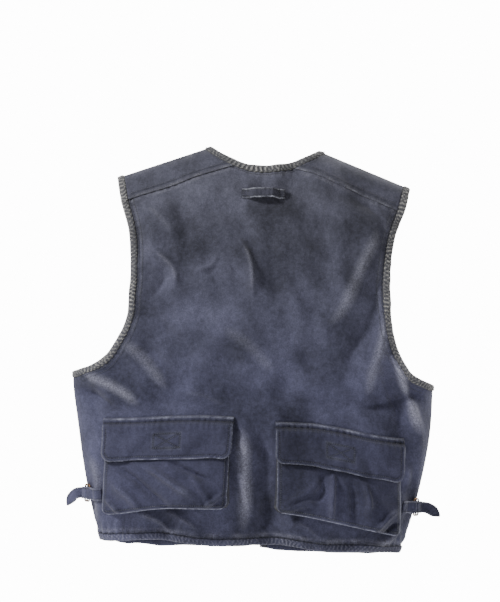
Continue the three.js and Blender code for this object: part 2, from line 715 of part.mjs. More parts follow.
function zipSlider() {
  const middle = zip.toGap - 1.7;
  const reach = slider.halfWidth;
  const gap = zip.toothHeight / 2 + slider.room;
  const deep = gap + slider.plate;
  const lipGap = zip.tapeThick / 2 + 0.5;
  const section = [
    [-reach, -deep], [reach, -deep], [reach, -lipGap], [reach - slider.lip, -lipGap],
    [reach - slider.lip, -gap], [slider.post, -gap], [slider.post, gap],
    [reach - slider.lip, gap], [reach - slider.lip, lipGap], [reach, lipGap],
    [reach, deep], [-reach, deep], [-reach, lipGap], [-reach + slider.lip, lipGap],
    [-reach + slider.lip, gap], [-slider.post, gap], [-slider.post, -gap],
    [-reach + slider.lip, -gap], [-reach + slider.lip, -lipGap], [-reach, -lipGap],
  ];
  const body = prism(section, sliderBottom, sliderBottom + slider.length).translate(middle, zipY, 0);
  const ears = [-1, 1].map((side) => box(1, 3.4, 3, pinX + side * 2.2, pinY - 0.9, pinHeight));
  const pin = new THREE.CylinderGeometry(pull.pinRadius, pull.pinRadius, 4.4, 10)
    .rotateZ(Math.PI / 2)
    .translate(pinX, pinY, pinHeight);
  return join(body, ...ears, pin);
}

function zipPull() {
  const hole = pull.pinRadius + pull.play;
  const onPin = (radius, width) =>
    new THREE.CylinderGeometry(radius, radius, width, 12)
      .rotateZ(Math.PI / 2)
      .translate(pinX, pinY, pinHeight);
  const neckFoot = pinHeight - hole - pull.neck;
  const neck = box(pull.eyeWidth, pull.thick, pull.neck, pinX, pinY, neckFoot + pull.neck / 2);
  const plate = box(pull.width, pull.thick, pull.length, pinX, pinY, neckFoot + 0.5 - pull.length / 2);
  return cut(join(onPin(hole + pull.eyeWall, pull.eyeWidth), neck, plate), onPin(hole, 2 * pull.eyeWidth));
}

// ---- The vest ----
const twill = new THREE.MeshStandardMaterial({ color: 0x3d435a, roughness: 0.95 });
const tape = new THREE.MeshStandardMaterial({ color: 0x555a68, roughness: 0.95 });
const hookAndLoop = new THREE.MeshStandardMaterial({ color: 0x262a3a, roughness: 1 });
const agedMetal = new THREE.MeshStandardMaterial({ color: 0x7a6248, roughness: 0.45, metalness: 1 });
const zipPlastic = new THREE.MeshStandardMaterial({ color: 0x2a3044, roughness: 0.5 });
const labelCloth = new THREE.MeshStandardMaterial({ color: 0x8d8f96, roughness: 0.9 });

const vest = new THREE.Group();
function add(name, geometry, material) {
  const mesh = new THREE.Mesh(geometry, material);
  mesh.name = name;
  vest.add(mesh);
}
function addPair(name, geometry, material) {
  add("right_" + name, geometry, material);
  add("left_" + name, mirrored(geometry), material);
}

add("back_panel", cloth(backGrid, half, half), twill);
addPair("shoulder_yoke", cloth(yokeGrid, half, half), twill);
addPair("front_panel", cloth(frontGrid, half, half), twill);
add("neck_binding", neckBinding(), tape);
addPair("armhole_binding", armholeBinding(), tape);
addPair("front_armhole_binding", frontArmholeBinding(), tape);
addPair("front_edge_binding", frontEdgeBinding(), tape);
add("back_hem_binding", hemBinding(backGrid, BACK, backHemZ, -backLength), tape);
addPair("front_hem_binding", hemBinding(frontGrid, FRONT, frontHemZ, -frontLength), tape);
add("net_loop", netLoopStrap(), tape);
add("neck_label", neckLabelPatch(), labelCloth);

const pockets = [
  ["back", backPocket, backGrid],
  ["lower", lowerPocket, frontGrid],
  ["chest", chestPocket, frontGrid],
];
for (const [name, spec, grid] of pockets) {
  addPair(name + "_pocket", pouch(spec, grid), twill);
  addPair(name + "_pocket_flap", flap(spec, grid), twill);
  addPair(name + "_pocket_loop_patch", loopPatch(spec), hookAndLoop);
  addPair(name + "_flap_hook_patch", hookPatch(spec), hookAndLoop);
}

addPair("adjuster_tab", adjusterTab(), twill);
addPair("adjuster_buckle", adjusterBuckle(), agedMetal);
addPair("adjuster_strap", adjusterStrap(), twill);
addPair("adjuster_strap_end", adjusterStrapEnd(), twill);

addPair("zip_tape", zipTape(), tape);
addPair("zip_teeth", zipTeeth(), zipPlastic);
addPair("zip_top_stop", zipTopStop(), agedMetal);
add("left_zip_box", mirrored(zipBox()), zipPlastic);
add("right_zip_pin", zipPin(), zipPlastic);
add("zip_slider", mirrored(zipSlider()), agedMetal);
add("zip_pull", mirrored(zipPull()), agedMetal);

export default vest;
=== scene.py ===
import math
import bpy
import numpy as np
from mathutils import Matrix, Vector


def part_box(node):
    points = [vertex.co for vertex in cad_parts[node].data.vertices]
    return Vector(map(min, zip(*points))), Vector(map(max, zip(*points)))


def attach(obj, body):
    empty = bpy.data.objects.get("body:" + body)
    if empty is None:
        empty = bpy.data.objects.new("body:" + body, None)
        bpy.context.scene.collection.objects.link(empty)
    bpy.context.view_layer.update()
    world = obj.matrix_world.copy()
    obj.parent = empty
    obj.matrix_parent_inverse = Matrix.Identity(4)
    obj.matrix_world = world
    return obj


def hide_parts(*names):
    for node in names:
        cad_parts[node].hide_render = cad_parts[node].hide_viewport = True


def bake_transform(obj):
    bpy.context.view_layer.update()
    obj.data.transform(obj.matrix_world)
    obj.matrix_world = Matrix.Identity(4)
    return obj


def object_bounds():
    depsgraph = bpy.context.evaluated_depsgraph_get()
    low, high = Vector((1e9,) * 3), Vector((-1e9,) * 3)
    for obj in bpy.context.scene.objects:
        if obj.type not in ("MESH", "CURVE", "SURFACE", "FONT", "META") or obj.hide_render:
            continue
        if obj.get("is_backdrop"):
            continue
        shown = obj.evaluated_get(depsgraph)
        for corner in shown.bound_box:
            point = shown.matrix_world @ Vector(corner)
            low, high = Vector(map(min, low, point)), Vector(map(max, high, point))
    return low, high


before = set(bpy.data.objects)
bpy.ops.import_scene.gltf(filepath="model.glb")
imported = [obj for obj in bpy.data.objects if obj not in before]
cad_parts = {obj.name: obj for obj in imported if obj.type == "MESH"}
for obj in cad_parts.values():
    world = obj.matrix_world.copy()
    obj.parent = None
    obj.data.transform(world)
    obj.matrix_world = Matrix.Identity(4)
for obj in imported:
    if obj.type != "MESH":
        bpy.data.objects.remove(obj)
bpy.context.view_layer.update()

# Camera. It looks straight at the vest's back from across the room, turned a little
# so that the vest hangs a touch low on its right side. Rx stands it up, Rz leans it.
lean = math.radians(2.2)
aim_x, aim_z, far_off = -0.013, -0.2128, 6.0
sensor, view_wide = 36, 0.843
camera = bpy.data.objects.new("camera", bpy.data.cameras.new("camera"))
bpy.context.scene.collection.objects.link(camera)
camera.data.lens, camera.data.sensor_width = sensor * far_off / view_wide, sensor
camera.matrix_world = (Matrix.Translation((aim_x, -far_off, aim_z))
                       @ Matrix.Rotation(math.pi / 2, 4, "X") @ Matrix.Rotation(lean, 4, "Z"))
bpy.context.scene.camera = camera

# Studio. A pale floor well below the hanging vest, a pale room round it and three soft lamps:
# the key high at the left of the camera, a weaker one low at the right, and one that lights
# the vest's front from behind the back.
bpy.ops.mesh.primitive_plane_add(size=8, location=(0, 0, -1.25))
floor = bpy.context.object
floor.name = "floor"
pale = bpy.data.materials.new("pale_floor")
pale.use_nodes = True
for socket, value in (("Base Color", (0.86, 0.86, 0.86, 1)), ("Roughness", 0.9),
                      ("Emission Color", (1, 1, 1, 1)), ("Emission Strength", 0.5)):
    pale.node_tree.nodes["Principled BSDF"].inputs[socket].default_value = value
floor.data.materials.append(pale)
floor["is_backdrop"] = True
room = bpy.data.worlds.new("room")
room.use_nodes = True
room.node_tree.nodes["Background"].inputs["Color"].default_value = (1, 1, 1, 1)
seen = room.node_tree.nodes.new("ShaderNodeLightPath")
glow = room.node_tree.nodes.new("ShaderNodeMapRange")
glow.inputs["To Min"].default_value, glow.inputs["To Max"].default_value = 0.12, 14.0
room.node_tree.links.new(seen.outputs["Is Camera Ray"], glow.inputs["Value"])
room.node_tree.links.new(glow.outputs["Result"], room.node_tree.nodes["Background"].inputs["Strength"])
bpy.context.scene.world = room
lamps = (("key", 82, 0.4, (-1.75, -0.95, 1.15)), ("fill", 21, 1.6, (1.2, -2.2, -0.3)),
         ("front_key", 62, 0.6, (1.7, 1.1, 1.2)))
for lamp, power, size, spot in lamps:
    light = bpy.data.objects.new(lamp, bpy.data.lights.new(lamp, "AREA"))
    light.data.energy, light.data.size, light.location = power, size, spot
    light.rotation_euler = (Vector((0, 0, -0.28)) - Vector(spot)).to_track_quat("-Z", "Y").to_euler()
    bpy.context.scene.collection.objects.link(light)

# Garment-dyed twill, the stuff of every panel, pocket and strap: a fine diagonal weave, a
# blotchy faded navy, and paler worn cotton wherever "wear" says a fold or edge is rubbed.
# "wear" is painted on each mesh for rubbed ridges, and a second attribute for painted shade
# down in the seams, grooves and creases and under the flaps. The cloth is also painted darker
# and greyer towards the top, as painted shade.


def nodes_for(tree):
    def add(kind, *wired, **settings):
        made = tree.nodes.new(kind)
        for key, value in settings.items():
            setattr(made, key, value)
        for slot_name, value in wired:
            if hasattr(value, "is_output"):
                tree.links.new(value, made.inputs[slot_name])
            else:
                made.inputs[slot_name].default_value = value
        return made
    return add


def weave_group():
    tree = bpy.data.node_groups.new("dyed_weave", "ShaderNodeTree")
    for label, kind in (("Dark", "Color"), ("Light", "Color"), ("Rubbed", "Color"), ("Pitch", "Float")):
        tree.interface.new_socket(label, in_out="INPUT", socket_type="NodeSocket" + kind)
    for label, kind in (("Color", "Color"), ("Roughness", "Float"), ("Normal", "Vector")):
        tree.interface.new_socket(label, in_out="OUTPUT", socket_type="NodeSocket" + kind)
    add = nodes_for(tree)
    given, out = add("NodeGroupInput"), add("NodeGroupOutput")
    place = add("ShaderNodeTexCoord").outputs["Object"]
    threads = add("ShaderNodeUVMap", uv_map="cloth").outputs["UV"]
    wear = add("ShaderNodeAttribute", attribute_name="wear").outputs["Fac"]
    shade_and_darkening = add("ShaderNodeAttribute", attribute_name="shade_and_darkening").outputs["Fac"]

    def maths(how, a, b, c=0.0):
        return add("ShaderNodeMath", (0, a), (1, b), (2, c), operation=how).outputs[0]

    def blotch(scale, detail, low, high):
        cloud = add("ShaderNodeTexNoise", ("Vector", place), ("Scale", scale), ("Detail", detail),
                    ("Roughness", 0.62))
        return add("ShaderNodeMapRange", (0, cloud.outputs["Fac"]), (1, low), (2, high)).outputs[0]
    fade = maths("ADD", maths("MULTIPLY", blotch(7, 2, 0.39, 0.61), 0.50),
                 maths("MULTIPLY", blotch(26, 4, 0.35, 0.65), 0.27))
    fade = maths("ADD", fade, maths("MULTIPLY", blotch(170, 6, 0.36, 0.64), 0.22))
    speck = blotch(520, 4, 0.36, 0.64)
    split = add("ShaderNodeSeparateXYZ", ("Vector", threads))
    along = maths("ADD", split.outputs[0], maths("MULTIPLY", split.outputs[1], 1.7))
    rib = maths("MULTIPLY", along, maths("DIVIDE", math.tau, given.outputs["Pitch"]))
    ribs = maths("MULTIPLY_ADD", maths("SINE", rib, 0.0), 0.5, 0.5)
    picks = maths("MULTIPLY", maths("SUBTRACT", split.outputs[0], split.outputs[1]),
                  maths("DIVIDE", math.tau * 0.8, given.outputs["Pitch"]))
    weave = maths("MULTIPLY", ribs, maths("MULTIPLY_ADD", maths("SINE", picks, 0.0), 0.25, 0.75))
    body = add("ShaderNodeMix", ("Factor", fade), data_type="RGBA")
    tree.links.new(given.outputs["Dark"], body.inputs[6])
    tree.links.new(given.outputs["Light"], body.inputs[7])
    rub = maths("MULTIPLY", wear, maths("MULTIPLY_ADD", speck, 0.55, 0.6))
    worn = add("ShaderNodeMix", ("Factor", rub), data_type="RGBA", clamp_factor=True)
    tree.links.new(body.outputs[2], worn.inputs[6])
    tree.links.new(given.outputs["Rubbed"], worn.inputs[7])
    # painted shade: the colour is darkened where the second painted attribute is high
    deep = maths("MULTIPLY_ADD", shade_and_darkening, -0.62, 1.0)
    grain = maths("MULTIPLY", maths("MULTIPLY_ADD", weave, 0.3, 0.84),
                  maths("MULTIPLY_ADD", speck, 0.44, 0.78))
    # painted shade of the light's falloff: the cloth is painted darker and greyer towards its top
    height = add("ShaderNodeSeparateXYZ", ("Vector", place)).outputs[2]
    painted_top_greying = add("ShaderNodeMapRange", (0, height), (1, -0.34), (2, -0.06), (3, 1.0), (4, 0.66)).outputs[0]
    painted_top_shade = add("ShaderNodeMapRange", (0, height), (1, -0.30), (2, -0.10), (3, 1.0), (4, 0.80)).outputs[0]
    bright = maths("MULTIPLY", maths("MULTIPLY", deep, grain), painted_top_shade)
    value = add("ShaderNodeHueSaturation", ("Value", bright), ("Saturation", painted_top_greying))
    tree.links.new(worn.outputs[2], value.inputs["Color"])
    crumple = add("ShaderNodeTexNoise", ("Vector", place), ("Scale", 95.0), ("Detail", 4.0)).outputs["Fac"]
    relief = maths("ADD", maths("MULTIPLY", weave, 0.16), maths("MULTIPLY", crumple, 1.7))
    bump = add("ShaderNodeBump", ("Strength", 0.55), ("Distance", 0.0011), ("Height", relief))
    tree.links.new(value.outputs[0], out.inputs["Color"])
    tree.links.new(maths("MULTIPLY_ADD", speck, 0.12, 0.82), out.inputs["Roughness"])
    tree.links.new(bump.outputs[0], out.inputs["Normal"])
    return tree


weave_tree = weave_group()


def cloth_material(name, dark, light, rubbed, pitch=0.0009, sheen=0.12):
    made = bpy.data.materials.new(name)
    made.use_nodes = True
    add = nodes_for(made.node_tree)
    shader = made.node_tree.nodes["Principled BSDF"]
    weave = add("ShaderNodeGroup", node_tree=weave_tree)
    for socket, colour in (("Dark", dark), ("Light", light), ("Rubbed", rubbed)):
        weave.inputs[socket].default_value = (*colour, 1)
    weave.inputs["Pitch"].default_value = pitch
    for given, taken in (("Color", "Base Color"), ("Roughness", "Roughness"), ("Normal", "Normal")):
        made.node_tree.links.new(weave.outputs[given], shader.inputs[taken])
    shader.inputs["Sheen Weight"].default_value = sheen
    shader.inputs["Sheen Roughness"].default_value = 0.5
    shader.inputs["Specular IOR Level"].default_value = 0.25
    return made


twill = cloth_material("faded_navy_twill", (0.017, 0.018, 0.034), (0.094, 0.096, 0.166),
                       (0.28, 0.28, 0.35))

# The body. The hanging vest is one soft hollow form, round in section, drawn in at the hem
# and rounded over the shoulders; every cloth piece is laid on it. Its folds, drags and
# creases are part of the form, so that all the pieces on it move together.
back_low, back_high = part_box("back_panel")
neck_half, slope, ridge, deepening = 0.074, 0.373, 0.020, 0.200
neck_round, yoke_drop, binding = 0.040, 0.036, 0.010
shoulder_half, armhole_depth = 0.205, 0.320
chest_half = back_high[0] - 0.0008
depth_half = -back_low[1] - 0.0008
back_hem, front_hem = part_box("back_hem_binding")[0][2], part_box("right_front_hem_binding")[0][2]
hem_draw = 0.041
random = np.random.default_rng(7)
lattice = random.random((64, 64))


def ease(t, low=0.0, high=1.0):
    t = np.clip((t - low) / (high - low), 0, 1)
    return t * t * (3 - 2 * t)


def hump(t, middle, wide):
    return np.exp(-((t - middle) / wide) ** 2)


def unit(v):
    return v / np.linalg.norm(v, axis=-1, keepdims=True)


def level_line(x, z):
    return np.stack([x, np.full(len(x), z)], -1)


def travelled(points):
    return np.r_[0, np.cumsum(np.linalg.norm(np.diff(points, axis=0), axis=1))]


def along_line(r, run, what):
    return np.stack([np.interp(r, run, column) for column in what.T], -1)


def cloud(a, b, cell, shift=0):
    a, b = np.asarray(a) / cell + 11.3 * shift + 900, np.asarray(b) / cell + 5.7 * shift + 900
    i, j = np.floor(a).astype(int), np.floor(b).astype(int)
    u, v = ease(a - i), ease(b - j)
    at = lambda p, q: lattice[p % 64, q % 64]
    low = at(i, j) * (1 - u) + at(i + 1, j) * u
    return 2 * (low * (1 - v) + (at(i, j + 1) * (1 - u) + at(i + 1, j + 1) * u) * v) - 1


def shoulder(x):
    a = np.abs(x)
    inner = -slope * (neck_round - neck_half) + slope * (neck_round**2 - a**2) / (2 * neck_round)
    return np.where(a >= neck_round, -slope * (a - neck_half), inner)


def half_width(z):
    below = -armhole_depth - np.asarray(z)
    high = chest_half + 0.050 * ease(-below / armhole_depth)
    low = chest_half - hem_draw * (np.maximum(below, 0) / 0.232) ** 1.9
    return np.where(below < 0, high, low)


# from x, z to x, z: how wide, how high the fold stands, in metres
back_folds = (
    (-0.146, -0.146, -0.116, -0.196, 0.006, 0.0030), (-0.062, -0.148, -0.090, -0.174, 0.0036, 0.0022),
    (-0.135, -0.170, -0.150, -0.215, 0.007, -0.0022), (-0.030, -0.128, -0.008, -0.205, 0.0048, 0.0034),
    (0.013, -0.150, 0.016, -0.225, 0.009, -0.0018), (0.162, -0.100, 0.096, -0.250, 0.014, 0.0040),
    (0.172, -0.150, 0.122, -0.300, 0.013, -0.0040), (0.176, -0.205, 0.150, -0.345, 0.012, 0.0046),
    (0.186, -0.285, 0.228, -0.388, 0.009, 0.0075), (0.172, -0.290, 0.205, -0.380, 0.009, -0.0055),
    (0.232, -0.326, 0.150, -0.352, 0.009, -0.0040), (-0.236, -0.322, -0.158, -0.362, 0.010, 0.0052),
    (-0.244, -0.345, -0.190, -0.372, 0.008, -0.0040), (-0.190, -0.270, -0.120, -0.345, 0.013, 0.0036),
    (-0.180, -0.225, -0.090, -0.290, 0.012, -0.0026), (-0.165, -0.085, -0.120, -0.132, 0.011, 0.0024),
    (0.118, -0.060, 0.168, -0.098, 0.009, -0.0022), (-0.016, -0.385, -0.012, -0.535, 0.013, 0.0052),
    (0.012, -0.400, 0.018, -0.540, 0.011, -0.0044), (-0.222, -0.430, -0.214, -0.530, 0.010, 0.0040),
    (0.224, -0.430, 0.214, -0.535, 0.010, -0.0040), (-0.060, -0.240, 0.040, -0.330, 0.022, 0.0026),
    (0.070, -0.270, 0.010, -0.372, 0.018, -0.0028), (-0.110, -0.345, -0.030, -0.362, 0.010, 0.0022),
    (0.040, -0.350, 0.120, -0.366, 0.009, -0.0022), (-0.070, -0.075, -0.030, -0.130, 0.012, -0.0016),
    (-0.165, -0.515, -0.105, -0.547, 0.006, 0.0030), (-0.120, -0.508, -0.072, -0.540, 0.006, 0.0026),
    (0.055, -0.512, 0.100, -0.545, 0.006, 0.0024), (0.206, -0.522, 0.150, -0.547, 0.006, 0.0036),
)
front_folds = (
    (0.190, -0.290, 0.120, -0.345, 0.012, 0.0055), (-0.190, -0.285, -0.130, -0.350, 0.011, 0.0052),
    (0.060, -0.100, 0.050, -0.200, 0.011, 0.0032), (-0.064, -0.095, -0.046, -0.205, 0.012, 0.0034),
    (0.130, -0.110, 0.110, -0.205, 0.014, -0.0032), (-0.136, -0.120, -0.104, -0.200, 0.013, -0.0034),
    (0.034, -0.330, 0.038, -0.540, 0.010, 0.0032), (-0.034, -0.340, -0.037, -0.540, 0.010, 0.0030),
    (0.222, -0.400, 0.214, -0.530, 0.010, 0.0036), (-0.224, -0.390, -0.214, -0.535, 0.010, 0.0038),
)


def creases(x, z, face):
    rise = np.zeros(np.broadcast(x, z).shape)
    for x0, z0, x1, z1, wide, high in back_folds if face < 0 else front_folds:
        run = np.hypot(x1 - x0, z1 - z0)
        ux, uz = (x1 - x0) / run, (z1 - z0) / run
        along = ((x - x0) * ux + (z - z0) * uz) / run
        bow = 0.006 * np.sin(np.pi * np.clip(along, 0, 1)) + 0.003 * cloud(x, z, 0.03, high * 9e3)
        across = (x - x0) * uz - (z - z0) * ux + bow
        ends = ease(along, -0.15, 0.25) * ease(-along, -1.2, -0.7)
        rise = rise + high * np.exp(-np.abs(across / wide) ** 1.5) * ends
    return rise


def folds(x, z, face):
    drag = 0.0050 * cloud(x, z, 0.085, 1 + face) + 0.0052 * cloud(x * 1.6 + 0.5 * z, z, 0.040, 3 + face)
    drag += 0.0030 * cloud(x + 0.4 * z, z * 0.7, 0.021, 14)
    fine = 0.00065 * cloud(x, z, 0.012, 6) + 0.00034 * cloud(x * 1.3, z, 0.006, 9)
    ends = ease(half_width(z) - np.abs(x), 0, 0.03) * ease(shoulder(x) - z, 0.0, 0.05)
    return 1.9 * creases(x, z, face) * ease(half_width(z) - np.abs(x), 0, 0.016) + (drag + fine) * ends


def form(x, z, face):
    drop = np.maximum(shoulder(x) - z, 0)
    turned = np.where(drop < ridge, np.sqrt(1 - (1 - np.minimum(drop / ridge, 1)) ** 2), 1)
    deep = ridge * turned + (depth_half - ridge) * np.sin(math.pi / 2 * np.minimum(drop / deepening, 1))
    share = np.minimum(np.abs(x) / half_width(z), 1)
    return face * deep * (1 - share**2.5) ** 0.4


def skin(x, z, face, lift=0.0, creased=True):
    """Points of the cloth's middle at x, z, and the outward normals there."""
    x, z = np.broadcast_arrays(np.asarray(x, float), np.asarray(z, float))
    y, step = form(x, z, face), 0.0012
    drop = shoulder(x) - z
    across = (form(x + step, z, face) - form(x - step, z, face)) / (2 * step)
    down = (form(x, z + step, face) - form(x, z - step, face)) / (2 * step)
    n = np.stack([-across * face, np.full(x.shape, float(face)), -down * face], -1)
    side = np.stack([np.sign(x), np.full(x.shape, 0.05 * face), np.zeros(x.shape)], -1)
    share = np.abs(x) / half_width(z)
    n = np.where((share > 0.9985)[..., None], side, n)
    n = np.where((drop < 0.0006)[..., None], np.stack([slope * np.sign(x), 0 * x, 1 + 0 * x], -1), n)
    n = unit(n)
    rise = lift + (folds(x, z, face) if creased else 0)
    p = np.stack([x, y, z], -1) + n * np.asarray(rise)[..., None] * np.ones(3)
    bulge = hump(z, -0.325, 0.05)
    p[..., 0] += bulge * np.where(x < 0, -0.006, -0.003) * ease(np.abs(x), 0.12, 0.24)
    low = ease(-z, 0.40, 0.555)
    p[..., 1] += low * 0.0035 * np.sin(p[..., 0] * 74 + 1.2 * face) * ease(half_width(z) - np.abs(x), 0, 0.05)
    p[..., 2] += low * (-0.0045 * ease(x, 0.05, 0.2) + 0.0020 * np.sin(p[..., 0] * 41 + 0.6))
    if face > 0:
        p[..., 2] += ease(-z, 0.50, 0.555) * (back_hem - front_hem) * ease(share, 0.82, 1.0)
    shows = hump(x, -0.125, 0.030) + hump(x, 0.045, 0.034)
    p[..., 2] += ease(-z, 0.50, 0.555) * shows * (0.002 if face < 0 else -0.005)
    return p, n


def follow(p):
    """How far a point of a front follows its swing: not at its seams, and fully inside them."""
    away = shoulder(p[:, 0]) - p[:, 2] - yoke_drop
    return ease(away, 0, 0.150) * ease(half_width(p[:, 2]) - np.abs(p[:, 0]), 0.001, 0.017)


def piece(name, p, material, body, wear=0.0, shade_and_darkening=0.0, thick=None, extra_faces=(), loop=False):
    """A mesh from rows and columns of points. thick makes it a cloth of that thickness."""
    rows, cols = p.shape[:2]
    mesh = bpy.data.meshes.new(name)
    k = np.arange(rows * cols).reshape(rows, cols)
    if loop:
        k = np.concatenate([k, k[:, :1]], 1)
    quads = np.stack([k[:-1, :-1], k[:-1, 1:], k[1:, 1:], k[1:, :-1]], -1).reshape(-1, 4)
    mesh.from_pydata(p.reshape(-1, 3).tolist(), [], quads.tolist() + [list(f) for f in extra_faces])
    down = np.r_[np.zeros((1, cols)), np.cumsum(np.linalg.norm(np.diff(p, axis=0), axis=2), 0)]
    along = np.c_[np.zeros((rows, 1)), np.cumsum(np.linalg.norm(np.diff(p, axis=1), axis=2), 1)]
    uv = np.stack([along, down], -1)
    layer = mesh.uv_layers.new(name="cloth")
    corner = np.empty(len(mesh.loops), int)
    mesh.loops.foreach_get("vertex_index", corner)
    layer.data.foreach_set("uv", uv.reshape(-1, 2)[corner].astype(np.float32).ravel())
    for label, value in (("wear", wear), ("shade_and_darkening", shade_and_darkening)):
        painted = mesh.attributes.new(label, "FLOAT", "POINT")
        value = np.broadcast_to(value, (rows, cols)).ravel()
        painted.data.foreach_set("value", np.clip(value, 0, 1).astype(np.float32))
    mesh.materials.append(material)
    mesh.shade_smooth()
    made = bpy.data.objects.new(name, mesh)
    bpy.context.scene.collection.objects.link(made)
    if thick:
        layers = made.modifiers.new("thickness", "SOLIDIFY")
        layers.thickness, layers.offset = thick, 0
    settle(made, body)
    return made


def settle(made, body):
    if body in ("right_front", "left_front"):
        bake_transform(made)
        at = np.array([v.co for v in made.data.vertices])
        follow(at).astype(np.float32)
    else:
        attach(made, body)


# Sewing thread. Every topstitched line is real thread: short waxed stitches that sink at
# their ends. They are kept by the body that carries them and made into one piece for each
# at the end. A line is given by its points and the normals there.
sewn = {}
# how far along the stitch, how high it stands and its share of the full thickness
stitch = ((0.04, -0.0004, 0.6), (0.25, 0.00022, 1.0), (0.5, 0.00034, 1.0), (0.76, -0.0004, 0.6))


def sew(body, points, normals, pitch=0.0031):
    run = travelled(points)
    if run[-1] < 2 * pitch:
        return
    starts = np.arange(0, run[-1] - pitch, pitch)
    for share, high, thick in stitch:
        r = starts + share * pitch
        ring = (along_line(r, run, points), along_line(r, run, normals), high, thick)
        sewn.setdefault(body, []).append(ring)


def sew_on_skin(body, x, z, face, lift=0.0012):
    p, n = skin(x, z, face, lift)
    sew(body, p, n)


# Back panel: one wide piece of twill, cut to the armholes' curve and drawn in at the hem.
# Its top edge is felled under the yokes and its sides run into the side seams. The cloth is
# puckered along every seam, painted shade darkens the seams and the crease valleys, and the
# seams' ridges are rubbed pale.
def spline(points, count):
    points = np.array(points, float)
    points = np.vstack([2 * points[0] - points[1], points, 2 * points[-1] - points[-2]])
    knots = np.r_[0, np.cumsum(np.linalg.norm(np.diff(points, axis=0), axis=1) ** 0.5)]
    found = []
    for t in np.linspace(knots[1], knots[-2] - 1e-9, count * 4):
        i = max(1, min(np.searchsorted(knots, t, "right") - 1, len(points) - 3))
        k, q = knots[i - 1 : i + 3], list(points[i - 1 : i + 3])
        a = [((k[j + 1] - t) * q[j] + (t - k[j]) * q[j + 1]) / (k[j + 1] - k[j]) for j in range(3)]
        b = [((k[j + 2] - t) * a[j] + (t - k[j]) * a[j + 1]) / (k[j + 2] - k[j]) for j in range(2)]
        found.append(((k[2] - t) * b[0] + (t - k[1]) * b[1]) / (k[2] - k[1]))
    found = np.array(found)
    run = travelled(found)
    return along_line(np.linspace(0, run[-1], count), run, found)


def armhole_top(drop):
    return shoulder_half - 0.2 * drop


start = armhole_top(yoke_drop)
armhole_edge = spline(((start, shoulder(start) - yoke_drop), (0.1855, -0.1184), (0.180, -0.1856),
                       (0.188, -0.2528), (0.214, -0.3024), (chest_half, -armhole_depth)), 130)
armhole_run = unit(np.gradient(armhole_edge, axis=0))


def inside_armhole(gap):
    line = armhole_edge + gap * np.stack([armhole_run[:, 1], -armhole_run[:, 0]], -1)
    line[0] = start - gap, shoulder(start - gap) - yoke_drop
    line[:, 0] = np.minimum(line[:, 0], half_width(line[:, 1]))
    line[-1, 0] = half_width(line[-1, 1])
    return line


armhole_inner = inside_armhole(binding)
tuck_under = 0.005
under_tape = inside_armhole(binding - 0.6 * tuck_under)


def border(hem):
    z = np.linspace(under_tape[-1, 1], hem, 92)[1:]
    return np.vstack([under_tape, np.stack([half_width(z), z], -1)])


def neck_curve(x, half, drop):
    return -drop + (drop + shoulder(half)) * (x / half) ** 2


def neck_x(drop, half, deep):
    x = np.linspace(0, half, 400)
    fall = shoulder(x) - neck_curve(x, half, deep)
    first = int(np.argmax(fall))
    return np.interp(drop, fall[first:][::-1], x[first:][::-1])


neck_inner, deep_edge, deep_inner = neck_half + binding, 0.022, 0.022 + binding
corner = float(neck_x(yoke_drop, neck_inner, deep_inner))
back_hem_in, front_hem_in = back_hem + binding, front_hem + binding
edge_line = border(back_hem_in)
turns = np.sin(np.linspace(-math.pi / 2, math.pi / 2, 201))
x_top = turns * edge_line[0, 0]
top = np.minimum(neck_curve(x_top, neck_inner, deep_inner), shoulder(x_top) - yoke_drop)
fallen = ((edge_line[:, 1] - edge_line[0, 1]) / (edge_line[-1, 1] - edge_line[0, 1]))[:, None]
x = turns * edge_line[:, :1]
z = top[None, :] * (1 - fallen) + back_hem_in * fallen
z[0] += np.where(np.abs(x_top) < corner, 0.4, 1) * tuck_under
along_z = np.arange(len(edge_line))[:, None] < len(armhole_inner)
from_side = np.where(along_z, edge_line[:, :1] - 0.6 * tuck_under - np.abs(x), 1.0)
from_top, from_hem = top[None, :] - z, z - back_hem_in


def puckered(distance, run, cell, high, seed):
    wave = np.sin(math.tau * run / cell + 2.2 * cloud(run, distance, 0.02, seed))
    uneven = 0.6 + 0.4 * cloud(run, distance * 0, 0.03, seed + 1)
    return high * wave * uneven * np.exp(-(np.maximum(distance, 0) / 0.008) ** 1.5)


def rubbed(distance, at, wide, seed, x, z):
    return hump(distance, at, wide) * (0.5 + 0.5 * cloud(x, z, 0.009, seed))


lift = (puckered(from_side, z, 0.0085, 0.0009, 21) + puckered(from_top, x, 0.010, 0.0008, 23)
        + 1.5 * puckered(0.6 * from_hem, x, 0.0085, 0.0012, 25)
        - 0.0014 * ease(np.maximum(-from_top, -from_side), -0.001, 0.0035))
p, _ = skin(x, z, -1, lift)
wear = (0.16 * rubbed(from_side, 0.0060, 0.0030, 31, x, z) + 0.30 * rubbed(from_top, 0.0036, 0.0016, 32, x, z)
        + 0.45 * rubbed(from_hem, 0.0042, 0.0030, 33, x, z) + 150 * np.maximum(creases(x, z, -1) - 0.0018, 0))
# painted shade: darker down in the seams and in the crease valleys
shade_and_darkening = (0.9 * hump(from_side, 0, 0.0014) + 0.9 * hump(from_top, 0, 0.0013)
        + 0.9 * hump(from_hem, 0, 0.0014) + 40 * np.maximum(-creases(x, z, -1) - 0.0012, 0))
panel_thick = 0.0011
back_cloth = piece("back_panel_cloth", p, twill, "back", wear=wear, shade_and_darkening=shade_and_darkening, thick=panel_thick)
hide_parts("back_panel")
seam_gaps = (0.0022, 0.0072)
for gap in seam_gaps:
    line = inside_armhole(binding + gap)
    for side in (-1, 1):
        sew_on_skin("back", side * line[:-4, 0], line[:-4, 1], -1)
x_hem = np.linspace(-0.2, 0.2, 220)
sew_on_skin("back", x_hem, np.full(220, back_hem_in + seam_gaps[0]), -1)

